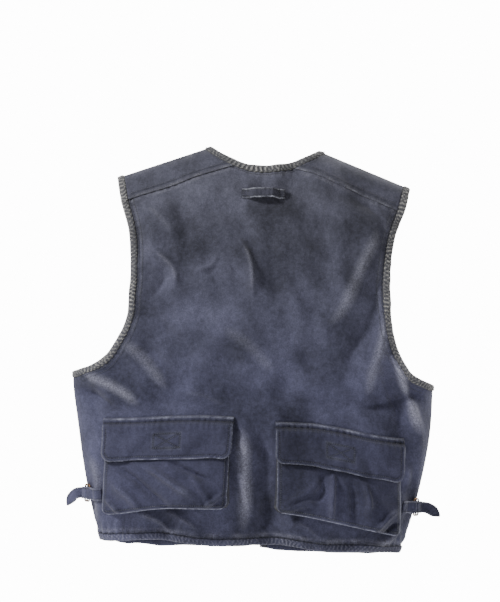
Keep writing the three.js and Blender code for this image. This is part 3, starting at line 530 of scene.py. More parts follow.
# Shoulder yokes: a double piece over each shoulder, lapped on the back panel and on the
# front and topstitched twice along both seams. The ridge over the shoulder is rubbed.
drops = np.r_[ridge * (1 - np.cos(np.linspace(0, math.pi / 2, 16))), np.linspace(ridge, yoke_drop, 9)[1:]]
over = [(d, -1) for d in drops[:0:-1]] + [(d, 1) for d in drops]
v_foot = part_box("right_front_edge_binding")[0][0]
v_foot_in, v_depth = v_foot + binding, 0.190


def v_x(z, half, foot):
    share = np.clip((z + v_depth) / (shoulder(half) + v_depth), 0, 1)
    return foot + (half - foot) * share**1.1


def v_at_drop(drop, half, foot):
    z = np.linspace(-v_depth, float(shoulder(half)), 400)
    x = v_x(z, half, foot)
    return np.interp(drop, (shoulder(x) - z)[::-1], x[::-1])


def yoke_from(drop, face):
    return neck_x(drop, neck_inner, deep_inner) if face < 0 else v_at_drop(drop, neck_inner, v_foot_in)


share = np.linspace(0, 1, 70)
both_sides = ((1, "right"), (-1, "left"))
for side, word in both_sides:
    x = np.array([yoke_from(d, f) + (armhole_top(d) - binding - yoke_from(d, f)) * share for d, f in over])
    drop = np.array([d for d, f in over])[:, None] * np.ones_like(x)
    face = np.array([f for d, f in over])[:, None] * np.ones_like(x)
    lap = 0.0011 * ease(drop, 0.030, 0.034)
    height = 0.0004 + lap + puckered(yoke_drop - drop, x, 0.009, 0.0003, 41 + side)
    behind, ahead = (skin(side * x, shoulder(x) - drop, f, height)[0] for f in (-1, 1))
    p = np.where(face[..., None] < 0, behind, ahead)
    wear = (0.7 * rubbed(yoke_drop - drop, 0.0008, 0.0014, 43, x, drop * face)
            + 0.5 * hump(drop, 0, 0.006) * (0.4 + 0.6 * cloud(x, drop * face, 0.012, 44)))
    # painted shade in the puckered groove between the yoke's two stitch lines
    shade_and_darkening = 0.7 * hump(yoke_drop - drop, 0.0052, 0.0012)
    if side > 0:
        p, wear, shade_and_darkening = p[:, ::-1], wear[:, ::-1], shade_and_darkening[:, ::-1]
    yoke = piece(word + "_yoke_cloth", p, twill, "back", wear=wear, shade_and_darkening=shade_and_darkening, thick=0.0014)
    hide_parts(word + "_shoulder_yoke")
    for inside in (0.0022, 0.0080):
        d = yoke_drop - inside
        for facing in (-1, 1):
            line = np.linspace(yoke_from(d, facing) + 0.002, armhole_top(d) - binding - 0.002, 60)
            sew_on_skin("back", side * line, shoulder(line) - d, facing, 0.0022)

# Fronts. Each is cut to the neck's V and the front edge, and hangs from the yoke and the
# side seam.
front_line = border(front_hem_in)
across = np.sin(np.linspace(0, math.pi / 2, 91))
v_rows = 70
top_z = float(shoulder(v_at_drop(yoke_drop, neck_inner, v_foot_in)) - yoke_drop)
inner_z = np.r_[np.linspace(top_z, -v_depth, v_rows + 1),
                np.linspace(-v_depth, front_hem_in, len(front_line) - v_rows)[1:]]
for side, word in both_sides:
    inner_x = v_x(inner_z, neck_inner, v_foot_in)[:, None]
    x = inner_x + (front_line[:, :1] - inner_x) * across
    level = inner_z[:, None] + (front_line[:, 1:] - inner_z[:, None]) * across
    seam = shoulder(x) - yoke_drop
    z = level + (seam - level) * ease(1 - np.arange(len(front_line)) / 12)[:, None]
    z[0] += tuck_under
    from_in, from_out = x - inner_x, np.where(along_z, front_line[:, :1] - 0.6 * tuck_under - x, 1.0)
    from_top, from_hem = seam - z, z - front_hem_in
    lift = (puckered(from_in, z, 0.0085, 0.0006, 51) + puckered(from_out, z, 0.0085, 0.0007, 52)
            + puckered(from_top, x, 0.010, 0.0005, 53) + puckered(from_hem, x, 0.0075, 0.0008, 54)
            - 0.0014 * ease(np.maximum(-from_out, -from_top), -0.001, 0.0035))
    p, _ = skin(side * x, z, 1, lift)
    wear = (0.2 * rubbed(from_in, 0.005, 0.003, 55, x, z) + 0.16 * rubbed(from_out, 0.006, 0.003, 56, x, z)
            + 0.45 * rubbed(from_hem, 0.0042, 0.0030, 57, x, z)
            + 150 * np.maximum(creases(side * x, z, 1) - 0.0018, 0))
    # painted shade down in the seams round the front's edges
    nearest = np.minimum(np.minimum(from_in, from_out), np.minimum(from_top, from_hem))
    shade_and_darkening = 0.9 * hump(nearest, 0, 0.0014)
    if side < 0:
        p, wear, shade_and_darkening = p[:, ::-1], wear[:, ::-1], shade_and_darkening[:, ::-1]
    front = piece(word + "_front_cloth", p, twill, word + "_front", wear=wear, shade_and_darkening=shade_and_darkening, thick=panel_thick)
    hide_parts(word + "_front_panel")
    for gap in seam_gaps:
        line = inside_armhole(binding + gap)
        sew_on_skin(word + "_front", side * line[4:-4, 0], line[4:-4, 1], 1)
    zs = np.linspace(top_z - 0.004, front_hem_in + 0.004, 260)
    sew_on_skin(word + "_front", side * (v_x(zs, neck_inner, v_foot_in) + 0.0024), zs, 1)
    xs = np.linspace(v_foot_in + 0.003, 0.2, 120)
    sew_on_skin(word + "_front", side * xs, np.full(120, front_hem_in + seam_gaps[0]), 1)

# Bindings. Bias tape is folded round every raw edge of the neck, the armholes and the
# front and stitched through. The dye shrank it, so it is roped: slanting ridges, rubbed to
# bare cotton on top, with painted shade in between and along the tape's inner edge. The hem's
# tape is flatter and lies smoother.
tape_cloth = cloth_material("faded_binding", (0.080, 0.081, 0.100), (0.150, 0.151, 0.172), (0.52, 0.50, 0.45),
                            0.0008)
section = ((-0.03, -0.1), (0.03, 0.55), (0.14, 0.92), (0.36, 1.0), (0.6, 1.0), (0.82, 0.9), (0.95, 0.5),
           (1.0, 0.0), (0.95, -0.5), (0.82, -0.85), (0.5, -0.9), (0.14, -0.7), (0.0, -0.3))


def bound(name, edge, inner, face, body, node, high=0.0021, roped=1.0, material=None, seed=61):
    behind, ahead = (skin(edge[:, 0], edge[:, 1], f)[0] for f in (-1, 1))
    run = travelled(np.where(face[:, None] < 0, behind, ahead))
    r = np.linspace(0, run[-1], int(run[-1] / 0.00095) + 1)
    edge, inner, r = along_line(r, run, edge), along_line(r, run, inner), r[:, None]
    near = np.clip(np.round(np.interp(r[:, 0], run, np.arange(len(run)))).astype(int), 0, len(run) - 1)
    back_side = face[near][:, None] < 0
    ends = []
    for line in (edge, inner):
        sides = zip(*(skin(line[:, 0], line[:, 1], f) for f in (-1, 1)))
        ends.append([np.where(back_side, behind, ahead) for behind, ahead in sides])
    (edge_p, edge_n), (inner_p, inner_n) = ends
    q, h = np.array(section).T[:, None, :]
    slant = (r + 0.0042 * q) / 0.0056 + 0.55 * cloud(r, q, 0.016, seed)
    rope = (0.5 + 0.5 * np.sin(math.tau * slant)) ** 1.3 * (0.85 + 0.25 * cloud(r, 0 * q, 0.022, seed + 1))
    tall = (high * h * (1 + roped * 0.85 * (rope - 0.35))
            + roped * 0.0003 * cloud(r, q, 0.004, seed + 2) * np.abs(h))
    swim = 0.00045 * cloud(r, 0 * q, 0.011, seed + 3) * ease(q, 0.4, 1)
    p = inner_p[:, None] * (1 - q[..., None]) + edge_p[:, None] * q[..., None]
    n = inner_n[:, None] * (1 - q[..., None]) + edge_n[:, None] * q[..., None]
    away = unit(edge_p - inner_p)[:, None]
    p = p + n * tall[..., None] + away * swim[..., None] * np.ones_like(p)
    bare = roped * (rope - 0.30) * (h > 0.2) * (0.7 + 0.4 * cloud(r, q, 0.007, seed + 4))
    wear = 1.5 * np.maximum(bare, 0) + 0.35 * hump(q, 0.97, 0.1) * (0.5 + 0.5 * cloud(r, q, 0.01, 2))
    # painted shade between the rope's ridges and along the tape's inner edge
    shade_and_darkening = 0.6 * roped * (1 - rope) * hump(q, 0.4, 0.6) + 0.8 * (q < 0.04)
    made = piece(name, p, material or tape_cloth, body, wear=wear, shade_and_darkening=shade_and_darkening * np.ones_like(p[..., 0]))
    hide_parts(node)


over_drops = np.r_[yoke_drop - 0.0001, np.linspace(yoke_drop - 0.002, 0.0008, 34), 0.0]
right_over = np.array([(v_at_drop(d, neck_half, v_foot), d) for d in over_drops])
right_over_in = np.array([(v_at_drop(d, neck_inner, v_foot_in), d) for d in over_drops])
fall_to = lambda line: np.stack([line[:, 0], shoulder(line[:, 0]) - line[:, 1]], -1)
right_over, right_over_in = fall_to(right_over), fall_to(right_over_in)
xs = np.linspace(neck_half, -neck_half, 240)[1:-1]
behind = np.stack([xs, neck_curve(xs, neck_half, deep_edge)], -1)
wide = xs * neck_inner / neck_half
behind_in = np.stack([wide, neck_curve(wide, neck_inner, deep_inner)], -1)
other = lambda line: line[::-1] * [-1, 1]
neck_edge = np.vstack([right_over, behind, other(right_over)])
neck_in = np.vstack([right_over_in, behind_in, other(right_over_in)])
facing = np.r_[np.ones(len(right_over)), -np.ones(len(behind)), np.ones(len(right_over))]
bound("neck_binding_tape", neck_edge, neck_in, facing, "back", "neck_binding", seed=62)
sew_on_skin("back", behind_in[:, 0], behind_in[:, 1] + 0.0026, -1, 0.0028)
sew_on_skin("back", behind_in[12:-12, 0], behind_in[12:-12, 1] - 0.0028, -1, 0.0012)

up = np.r_[np.linspace(yoke_drop - 0.0001, 0.0008, 30), 0.0, np.linspace(0.0008, yoke_drop, 30)]
turn = np.r_[np.ones(31), -np.ones(30 + len(armhole_edge) - 1)]
for side, word in both_sides:
    rim = np.stack([armhole_top(up), shoulder(armhole_top(up)) - up], -1)
    rim_in = np.stack([armhole_top(up) - binding, shoulder(armhole_top(up) - binding) - up], -1)
    edge = np.vstack([rim, armhole_edge[1:]]) * [side, 1]
    inner = np.vstack([rim_in, armhole_inner[1:]]) * [side, 1]
    bound(word + "_armhole_tape", edge, inner, turn, "back", word + "_armhole_binding",
          seed=70 + side)
    bound(word + "_front_armhole_tape", armhole_edge * [side, 1], armhole_inner * [side, 1],
          np.ones(len(armhole_edge)), word + "_front", word + "_front_armhole_binding",
          seed=74 + side)
    mid = armhole_inner + 0.25 * (armhole_edge - armhole_inner)
    sew_on_skin("back", side * mid[:-2, 0], mid[:-2, 1], -1, 0.0029)
    sew_on_skin(word + "_front", side * mid[:-2, 0], mid[:-2, 1], 1, 0.0029)
    zs = np.linspace(top_z - 0.0004, front_hem, 500)
    edge = np.stack([side * v_x(zs, neck_half, v_foot), zs], -1)
    inner = np.stack([side * v_x(zs, neck_inner, v_foot_in), zs], -1)
    bound(word + "_front_edge_tape", edge, inner, np.ones(500), word + "_front", word + "_front_edge_binding",
          roped=0.75, seed=78 + side)
    sew_on_skin(word + "_front", 0.75 * inner[:, 0] + 0.25 * edge[:, 0], zs, 1, 0.0028)
    xs = v_foot_in + (half_width(front_hem) - v_foot - binding) * np.linspace(0, 1, 200)
    wide = v_foot_in + (half_width(front_hem_in) - v_foot - binding) * np.linspace(0, 1, 200)
    bound(word + "_front_hem_tape", level_line(side * xs, front_hem),
          level_line(side * wide, front_hem_in), np.ones(200), word + "_front",
          word + "_front_hem_binding", 0.0016, 0.5, twill, 82 + side)
span_x = np.sin(np.linspace(-math.pi / 2, math.pi / 2, 400))
bound("back_hem_tape", level_line(span_x * half_width(back_hem), back_hem),
      level_line(span_x * half_width(back_hem_in), back_hem_in), -np.ones(400), "back",
      "back_hem_binding", 0.0017, 0.4, twill, 86)

# Bellows pockets. Each front is a plain piece with a stitched rim, stood off the panel by a
# gusset folded in half behind it on three sides, so the bag sags outwards at the bottom.
# The mouth is open under the flap. The cloth is creased where the bag has been filled.
bags = {
    "back": dict(face=-1, x=(0.032, 0.204), z=(-0.388, -0.506), deep=(0.010, 0.024), lean=8.5,
                 flap=(-0.374, -0.434), over=0.004, corner=0.014, patch=(-0.398, -0.418),
                 droop={-1: (0, 0.009), 1: (0.005, 0.017)}, tuck=0.006, seed=90),
    "lower": dict(face=1, x=(0.044, 0.204), z=(-0.392, -0.512), deep=(0.010, 0.024), lean=8.5,
                  flap=(-0.378, -0.438), over=0.004, corner=0.014, patch=(-0.402, -0.422),
                  droop={-1: (0, 0.007), 1: (0.001, 0.005)}, tuck=0.004, seed=94),
    "chest": dict(face=1, x=(0.048, 0.152), z=(-0.231, -0.326), deep=(0.009, 0.014), lean=4.5,
                  flap=(-0.220, -0.270), over=0.003, corner=0.012, patch=(-0.242, -0.258),
                  droop={-1: (0, 0.003), 1: (0.001, 0.003)}, tuck=0.001, seed=98),
}
# across and down the bag, from and to, as shares of it: how wide and how high the crease is
bag_creases = (
    ((0.72, 0.42, 0.20, 0.92, 0.036, 0.0052), (0.88, 0.46, 0.46, 0.98, 0.034, -0.0050),
     (0.50, 0.42, 0.12, 0.70, 0.030, -0.0036), (0.94, 0.62, 0.66, 0.99, 0.030, 0.0044),
     (0.98, 0.80, 0.84, 1.00, 0.020, 0.0056), (0.02, 0.78, 0.16, 1.00, 0.020, 0.0046),
     (0.30, 0.60, 0.10, 0.98, 0.026, 0.0030)),
    ((0.44, 0.40, 0.445, 1.00, 0.020, 0.0062), (0.38, 0.42, 0.33, 0.80, 0.035, -0.0040),
     (0.70, 0.46, 0.74, 0.82, 0.022, 0.0044), (0.60, 0.50, 0.62, 0.96, 0.030, -0.0036),
     (0.02, 0.98, 0.30, 0.80, 0.026, 0.0032), (0.78, 1.00, 0.96, 0.72, 0.022, 0.0058),
     (0.86, 1.00, 0.99, 0.84, 0.018, -0.0050), (0.05, 0.90, 0.40, 0.52, 0.035, 0.0030)),
)


def out_of(bag, side):
    lean = math.radians(bag["lean"])
    return np.array([side * math.sin(lean), bag["face"] * math.cos(lean), 0])


def within(bag, x, z):
    near, far = bag["x"]
    mouth, foot = bag["z"]
    return (x - near) / (far - near), (z - mouth) / (foot - mouth)


def stood_off(bag, side, x, z, height):
    hang, droop = bag["droop"][side]
    across, down = within(bag, x, z)
    drawn_in = bag["tuck"] * np.clip(down, 0, 1) * (1 - np.clip(across, 0, 1))
    sag = hang + droop * ease(across, 0.2, 1.05) - drawn_in
    p, _ = skin(side * x, z - sag, bag["face"], creased=False)
    follows = 1 - 0.55 * ease(height, 0.0, 0.010)
    return p + out_of(bag, side) * (height + follows * folds(side * x, z - sag, bag["face"]))[..., None]


def bag_depth(bag, x, z, seed):
    across, down = within(bag, x, z)
    deep = bag["deep"][0] + (bag["deep"][1] - bag["deep"][0]) * ease(down, -0.1, 1.05) ** 1.2
    belly = (0.0042 * np.sin(math.pi * np.clip(across, 0, 1)) ** 0.6
             * np.sin(math.pi * np.clip(down, 0, 1) ** 1.4))
    creased = np.zeros_like(x)
    for a0, b0, a1, b1, wide, high in bag_creases[seed % 2]:
        run = math.hypot(a1 - a0, b1 - b0)
        along = ((across - a0) * (a1 - a0) + (down - b0) * (b1 - b0)) / run**2
        off = ((across - a0) * (b1 - b0) - (down - b0) * (a1 - a0)) / run
        off = off + 0.02 * cloud(across, down, 0.2, seed)
        creased += high * hump(off, 0, wide) * ease(along, -0.2, 0.3) * ease(-along, -1.15, -0.7)
    return (deep + belly + 1.7 * creased * ease(down, 0.36, 0.52)
            + 0.0014 * cloud(x, z, 0.022, seed) + 0.0004 * cloud(x, z, 0.008, seed + 5))


def rounded(count, low, corner, top):
    """z down to a lower edge with a round corner, and how far the outline steps in there."""
    curve = np.linspace(0, math.pi / 2, 14)[1:]
    z = np.r_[np.linspace(top, low + corner, count), low + corner * (1 - np.sin(curve))]
    return z, np.r_[np.zeros(count), corner * (1 - np.cos(curve))]


pocket_twill = cloth_material("pocket_twill", (0.012, 0.013, 0.027), (0.060, 0.061, 0.112),
                              (0.28, 0.29, 0.38))
pile = cloth_material("hook_and_loop_pile", (0.012, 0.014, 0.026), (0.026, 0.030, 0.052),
                      (0.10, 0.10, 0.13), 0.0016, 0.4)
# how far each ring of the folded gusset tucks in, and how high up the bag's depth it is
gusset_rings = ((0.0, 1.0), (0.0012, 0.93), (0.0052, 0.74), (0.0082, 0.54), (0.0074, 0.46), (0.0035, 0.24),
                (0, 0.05))
for kind, bag in bags.items():
    for side, word in both_sides:
        body = "back" if kind == "back" else word + "_front"
        pocket, flap_body = f"{word}_{kind}_pocket", f"{word}_{kind}_flap"
        seed, out = bag["seed"] + (side > 0), out_of(bag, side)
        near, far = bag["x"]
        mouth, foot = bag["z"]
        flap_top, flap_foot = bag["flap"]
        patch_top, patch_foot = bag["patch"]
        fold_wide, reach, pad_high = (0.024, 0.016, 0.016) if kind == "chest" else (0.030, 0.0185, 0.020)
        zs, step_in = rounded(46, foot, 0.010, mouth)
        a = np.linspace(0, 1, 84)[None, :]
        x = near + step_in[:, None] + a * (far - near - 2 * step_in[:, None])
        z = zs[:, None] * np.ones_like(x)
        rim = np.minimum(np.minimum(x - near, far - x), z - foot)
        deep = bag_depth(bag, x, z, seed)
        height = deep - 0.0034 * hump(rim, 0, 0.0035) + puckered(rim, x + z, 0.009, 0.0008, seed)
        p = stood_off(bag, side, x, z, height)
        proud = np.clip((deep - 0.030) / 0.006, 0, 0.6)
        wear = (0.85 * rubbed(rim, 0.0005, 0.0008, seed + 2, x, z)
                + 0.25 * proud * (0.5 + 0.5 * cloud(x, z, 0.01, seed)))
        # painted shade in the rim's stitched groove and under the flap, and a painted shadow cast just below
        # the flap's edge
        shade_and_darkening = (0.7 * hump(rim, 0.0046, 0.0012) + 0.8 * ease(z, flap_foot - 0.002, flap_foot)
                + 0.75 * np.exp(-np.maximum(flap_foot - z, 0) / 0.0055))
        order = slice(None, None, 1 if side * bag["face"] < 0 else -1)
        made = piece(pocket + "_cloth", p[:, order], pocket_twill, body, wear=wear[:, order],
                     shade_and_darkening=shade_and_darkening[:, order], thick=0.0012)
        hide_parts(pocket)
        rows, cols = x.shape
        u = np.r_[np.arange(rows), np.full(cols, rows - 1)[1:-1], np.arange(rows)[::-1]]
        v = np.r_[np.zeros(rows, int), np.arange(cols)[1:-1], np.full(rows, cols - 1)]
        ux, uz, uh = x[u, v], z[u, v], height[u, v]
        middle = (near + far) / 2
        nx = np.sign(middle - ux) * ease(np.abs(middle - ux), 0.0, 0.01) * (uz > foot + 0.0005)
        nz = ease(-(uz - foot), -0.014, -0.001)
        g = []
        for tuck, up_by in gusset_rings:
            wob = tuck * (1 + 0.35 * cloud(ux + uz, uh, 0.013, seed + 7))
            g.append(stood_off(bag, side, ux + nx * wob, uz + nz * wob, uh * up_by + 0.0006))
        # painted shade down in the gusset's fold, darkest at its inner rings; the outer fold is rubbed
        made = piece(pocket + "_gusset", np.array(g)[:, ::order.step], pocket_twill, body,
                     shade_and_darkening=np.array([0.0, 0.1, 0.5, 1.0, 1.0, 0.6, 0.8])[:, None],
                     wear=np.array([0.8, 0.3, 0, 0, 0, 0, 0])[:, None], thick=0.0011)
        inset_x = ux + np.sign(middle - ux) * 0.0045 * (uz > foot + 0.001)
        inset_z = np.maximum(uz, foot + 0.0045)
        line = stood_off(bag, side, inset_x, inset_z, bag_depth(bag, inset_x, inset_z, seed) + 0.0002)[2:-2]
        sew(body, line, np.broadcast_to(out, line.shape))

        # the loop pad sewn on the bag, and the hook pad under the flap
        px = (middle + np.linspace(-reach, reach, 30))[None, :] * np.ones((18, 1))
        pz = np.linspace(patch_top, patch_foot, 18)[:, None] * np.ones_like(px)
        soft = 0.0003 * random.random(px.shape)
        for pad, lift, rides, carrier in (("loop", 0.0012, body, pocket),
                                          ("hook", 0.0028, flap_body, flap_body)):
            face_p = stood_off(bag, side, px, pz, bag_depth(bag, px, pz, seed) + lift + soft)
            made = piece(f"{word}_{kind}_{pad}_pad", face_p[:, order], pile, rides, thick=0.0010)
            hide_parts(f"{carrier}_{pad}_patch")

        # Flap: two layers turned and topstitched, sewn to the panel along its top, where the
        # folded seam stands up as a ridge with a puckered stitched groove under it. Its lower
        # edge waves a little and is rubbed pale; the box in the middle holds the hook pad.
        over, corner = bag["over"], bag["corner"]
        zs, step_in = rounded(40, flap_foot, corner, flap_top)
        a = np.linspace(0, 1, 110)[None, :]
        wide = far - near + 2 * over
        x = near - over + step_in[:, None] + a * (wide - 2 * step_in[:, None])
        z = zs[:, None] * np.ones_like(x)
        left, right, low = x[0, 0], x[0, -1], zs[-1]
        below = flap_top - z
        end = np.minimum(x - left, right - x)
        turned = (np.hypot(np.maximum(corner - inward, 0), np.maximum(corner - (z - low), 0))
                  for inward in (x - left, right - x))
        edge = np.minimum(np.minimum(end, z - flap_foot), corner - np.maximum(*turned))
        edge = np.maximum(np.where(edge > corner - 1e-6, end, edge), 0)
        on_bag = bag_depth(bag, np.clip(x, near, far), np.minimum(z, mouth), seed)
        smooth = bag["deep"][0] + 0.35 * (on_bag - bag["deep"][0])
        height = 0.0018 + (smooth + 0.0030) * ease(below, -0.001, 0.015)
        height += 0.0022 * hump(below, 0.0028, 0.0022) - 0.0016 * hump(below, 0.0075, 0.0018)
        height += puckered(np.abs(below - 0.0085), x, 0.0085, 0.0010, seed + 11)
        wave = ease(below, 0.02, 0.06)
        height += wave * (0.0034 * cloud(x, z * 0.2, 0.034, seed + 12)
                          + 0.0014 * cloud(x, z * 0.2, 0.013, seed + 13) + 0.0030)
        height += 0.0034 * cloud(x + 0.8 * z, z - 0.5 * x, 0.026, seed + 21) * ease(below, 0.012, 0.03)
        height -= 0.0010 * hump(edge, 0, 0.0012) + 0.0009 * hump(edge, 0.0048, 0.0012) * (below > 0.012)
        height += puckered(edge, x + 1.3 * z, 0.0080, 0.0007, seed + 14) * (below > 0.012)
        half_box = (patch_top - patch_foot) / 2
        from_middle = np.abs(z - sum(bag["patch"]) / 2)
        box_edge = np.maximum(np.abs(x - middle) - reach, from_middle - half_box)
        cross = (np.abs(x - middle) / reach - from_middle / half_box) * half_box * 0.88
        height -= 0.0009 * hump(box_edge, 0, 0.0016)
        height += 0.0005 * cloud(x, z, 0.009, seed + 15) * (below > 0.01)
        clear = 0.0024 + 0.0026 * hump(np.maximum(box_edge, 0), 0, 0.006)
        height = np.maximum(height, ease(below, 0.010, 0.018) * (on_bag + clear))
        p = stood_off(bag, side, x, z + wave * 0.0016 * cloud(x, z * 0, 0.026, seed + 16), height)
        wear = (0.9 * rubbed(edge, 0.0006, 0.0009, seed + 17, x, z) * (below > 0.010)
                + 0.95 * rubbed(below, 0.0021, 0.0011, seed + 18, x, z)
                + 0.3 * rubbed(np.abs(box_edge), 0.001, 0.0014, 5, x, z))
        # painted shade in the stitched groove under the top ridge, along the edge stitching and round and
        # across the pad's box; the whole flap is also a little darker
        shade_and_darkening = (0.2 + 0.95 * hump(below, 0.0075, 0.0016) + 0.7 * hump(edge, 0.0050, 0.0012) * (below > 0.012)
                + 0.9 * hump(box_edge, 0, 0.0012) + 0.7 * hump(cross, 0, 0.0011) * (box_edge < 0))
        made = piece(flap_body + "_cloth", p[:, order], pocket_twill, flap_body, wear=wear[:, order],
                     shade_and_darkening=shade_and_darkening[:, order], thick=0.0019)
        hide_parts(pocket + "_flap")

        def on_flap(lx, lz, lift=0.0009):
            flat = np.argmin(np.hypot(x.ravel()[:, None] - lx, z.ravel()[:, None] - lz), 0)
            points = p.reshape(-1, 3)[flat] + out * lift
            sew(flap_body, points, np.broadcast_to(out, points.shape))
        inset = 0.0044
        lz, li = rounded(60, flap_foot + inset, corner - inset, flap_top - 0.012)
        on_flap(left + inset + li, lz)
        on_flap((right - inset - li)[::-1], lz[::-1])
        on_flap(np.linspace(left + corner, right - corner, 200), np.full(200, flap_foot + inset))
        for under in (0.0075, 0.0105):
            on_flap(np.linspace(left + 0.002, right - 0.002, 220), np.full(220, flap_top - under), 0.0011)
        l, r, t, b = middle - reach, middle + reach, patch_top, patch_foot
        for x0, z0, x1, z1 in ((l, t, r, t), (r, t, r, b), (r, b, l, b), (l, b, l, t),
                               (l, t, r, b), (l, b, r, t)):
            on_flap(np.linspace(x0, x1, 60), np.linspace(z0, z1, 60))

# Net loop. A landing net hangs from this strap on the back: a folded strip of the pocket
# twill, sewn down at both ends and along its edges, standing slack off the panel between.
loop_low, loop_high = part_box("net_loop")
a = np.linspace(-1, 1, 90)[None, :]
b = np.linspace(0, 1, 14)[:, None]
x = a * loop_high[0] + 0 * b
z = loop_high[2] + (loop_low[2] - loop_high[2]) * b + 0.0006 * np.sin(x * 60) + 0 * a
slack = 0.0062 * ease(1 - np.abs(a), 0.24, 0.62) * (1 + 0.16 * np.sin(x * 90)) + 0 * b
edge = np.minimum(b, 1 - b) * 0.013
p, n = skin(x, z, -1, 0.0016, creased=False)
p = p + n * (slack + 0.0006 * cloud(x, z, 0.008, 120) + 0.0004 * cloud(x, z, 0.0035, 124)
             + puckered(edge, x, 0.006, 0.0004, 121) - 0.0006 * hump(edge, 0.0021, 0.0007))[..., None]
wear = 1.2 * rubbed(edge, 0.0006, 0.0010, 122, x, z)
# painted shade in the stitched grooves and at the sewn-down ends
made = piece("net_loop_strap", p, pocket_twill, "back", wear=wear,
             shade_and_darkening=0.7 * hump(edge, 0.0021, 0.0007) + 0.8 * (np.abs(a) > 0.975), thick=0.0018)
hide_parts("net_loop")
for row in (2, 11):
    sew("back", p[row] + n[row] * 0.0011, n[row])
for column in (3, 12, 77, 86):
    sew("back", p[:, column] + n[:, column] * 0.0011, n[:, column])

# Neck label. A blank strip of woven cotton, sewn along its top and bottom inside the back
# of the neck, under where the collar would be.
label_cloth = cloth_material("label_weave", (0.20, 0.20, 0.21), (0.33, 0.33, 0.34), (0.5, 0.5, 0.5),
                             0.0005, 0.05)
label_low, label_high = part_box("neck_label")
a = np.linspace(label_low[0], label_high[0], 40)[None, :]
b = np.linspace(label_high[2], label_low[2], 20)[:, None]
p, n = skin(a, b, -1)
p = p - n * (0.0016 + 0.0012 * np.sin(math.pi * (b - label_low[2]) / (label_high[2] - label_low[2]))
             * (1 + 0.5 * np.sin(a * 120)) + 0.0002 * cloud(a, b, 0.006, 130))[..., None]
made = piece("neck_label_cloth", p, label_cloth, "back", thick=0.0006)
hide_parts("neck_label")
for row in (1, 18):
    sew("back", p[row] - n[row] * 0.0004, -n[row])

# Side adjusters. At each side a tab holds the back bar of a bent-wire buckle, and a strap
# sewn in the side seam goes through it and back over its middle bar. The strap's pointed
# end hangs loose. The wire was bronzed and has gone rusty.
def mottled(name, scale, detail, dark, light, smooth_from, smooth_to):
    made = bpy.data.materials.new(name)
    made.use_nodes = True
    add = nodes_for(made.node_tree)
    shader = made.node_tree.nodes["Principled BSDF"]
    grain = add("ShaderNodeTexNoise", ("Vector", add("ShaderNodeTexCoord").outputs["Object"]),
                ("Scale", scale), ("Detail", detail)).outputs["Fac"]
    tone = add("ShaderNodeMix", ("Factor", grain), data_type="RGBA")
    tone.inputs[6].default_value, tone.inputs[7].default_value = (*dark, 1), (*light, 1)
    made.node_tree.links.new(tone.outputs[2], shader.inputs["Base Color"])
    rough = add("ShaderNodeMapRange", ("Value", grain), (3, smooth_from), (4, smooth_to))
    made.node_tree.links.new(rough.outputs[0], shader.inputs["Roughness"])
    return made, add, shader, grain


rust, add, shader, patchy = mottled("rusty_bronzed_wire", 260.0, 5.0, (0.10, 0.055, 0.032),
                                    (0.34, 0.20, 0.12), 0.75, 0.35)
dents = add("ShaderNodeBump", ("Strength", 0.4), ("Distance", 0.0003), ("Height", patchy))
rust.node_tree.links.new(dents.outputs[0], shader.inputs["Normal"])
shader.inputs["Metallic"].default_value = 0.85


def ribbon(name, path, out, width, body, tip=None):
    """A strap along a path of points, its width up the out-and-path plane's normal."""
    run = travelled(path)
    r = np.linspace(0, run[-1], max(12, int(run[-1] / 0.0011)))
    line, face_n = along_line(r, run, path), unit(along_line(r, run, out))
    across = unit(np.cross(face_n, np.gradient(line, axis=0)))
    b = np.linspace(-1, 1, 17)[:, None]
    half = width / 2 * (np.ones_like(r) if tip is None else tip(r / r[-1]))[None, :]
    p = line[None] + across[None] * (b * half)[..., None]
    edge = (1 - np.abs(b)) * half
    bend = 0.0005 * cloud(r[None, :] + 0 * b, b * half, 0.009, 140) - 0.0004 * hump(edge, 0.0024, 0.0008)
    p = p + face_n[None] * bend[..., None]
    # painted shade in the stitched grooves along the strap
    made = piece(name, p, twill, body, wear=0.8 * rubbed(edge, 0.0008, 0.0012, 141, r[None, :], b * half),
                 shade_and_darkening=0.6 * hump(edge, 0.0024, 0.0007), thick=0.0019)
    for row in (2, 14):
        sew(body, p[row, 1:-1] + face_n[1:-1] * 0.0011, face_n[1:-1])
    return made


def rod(name, path, radius, material, body):
    path, count, sides = np.array(path), len(path), 14
    along = unit(np.gradient(path, axis=0))
    first = unit(np.cross(along, (0.31, 0.83, 0.46)))
    turn = np.linspace(0, math.tau, sides + 1)[:-1, None]
    second = np.cross(along, first)
    ring = path[:, None] + radius * (np.cos(turn) * first[:, None] + np.sin(turn) * second[:, None])
    caps = [list(range(sides)), [(count - 1) * sides + k for k in range(sides - 1, -1, -1)]]
    return piece(name, ring, material, body, extra_faces=caps, loop=True)


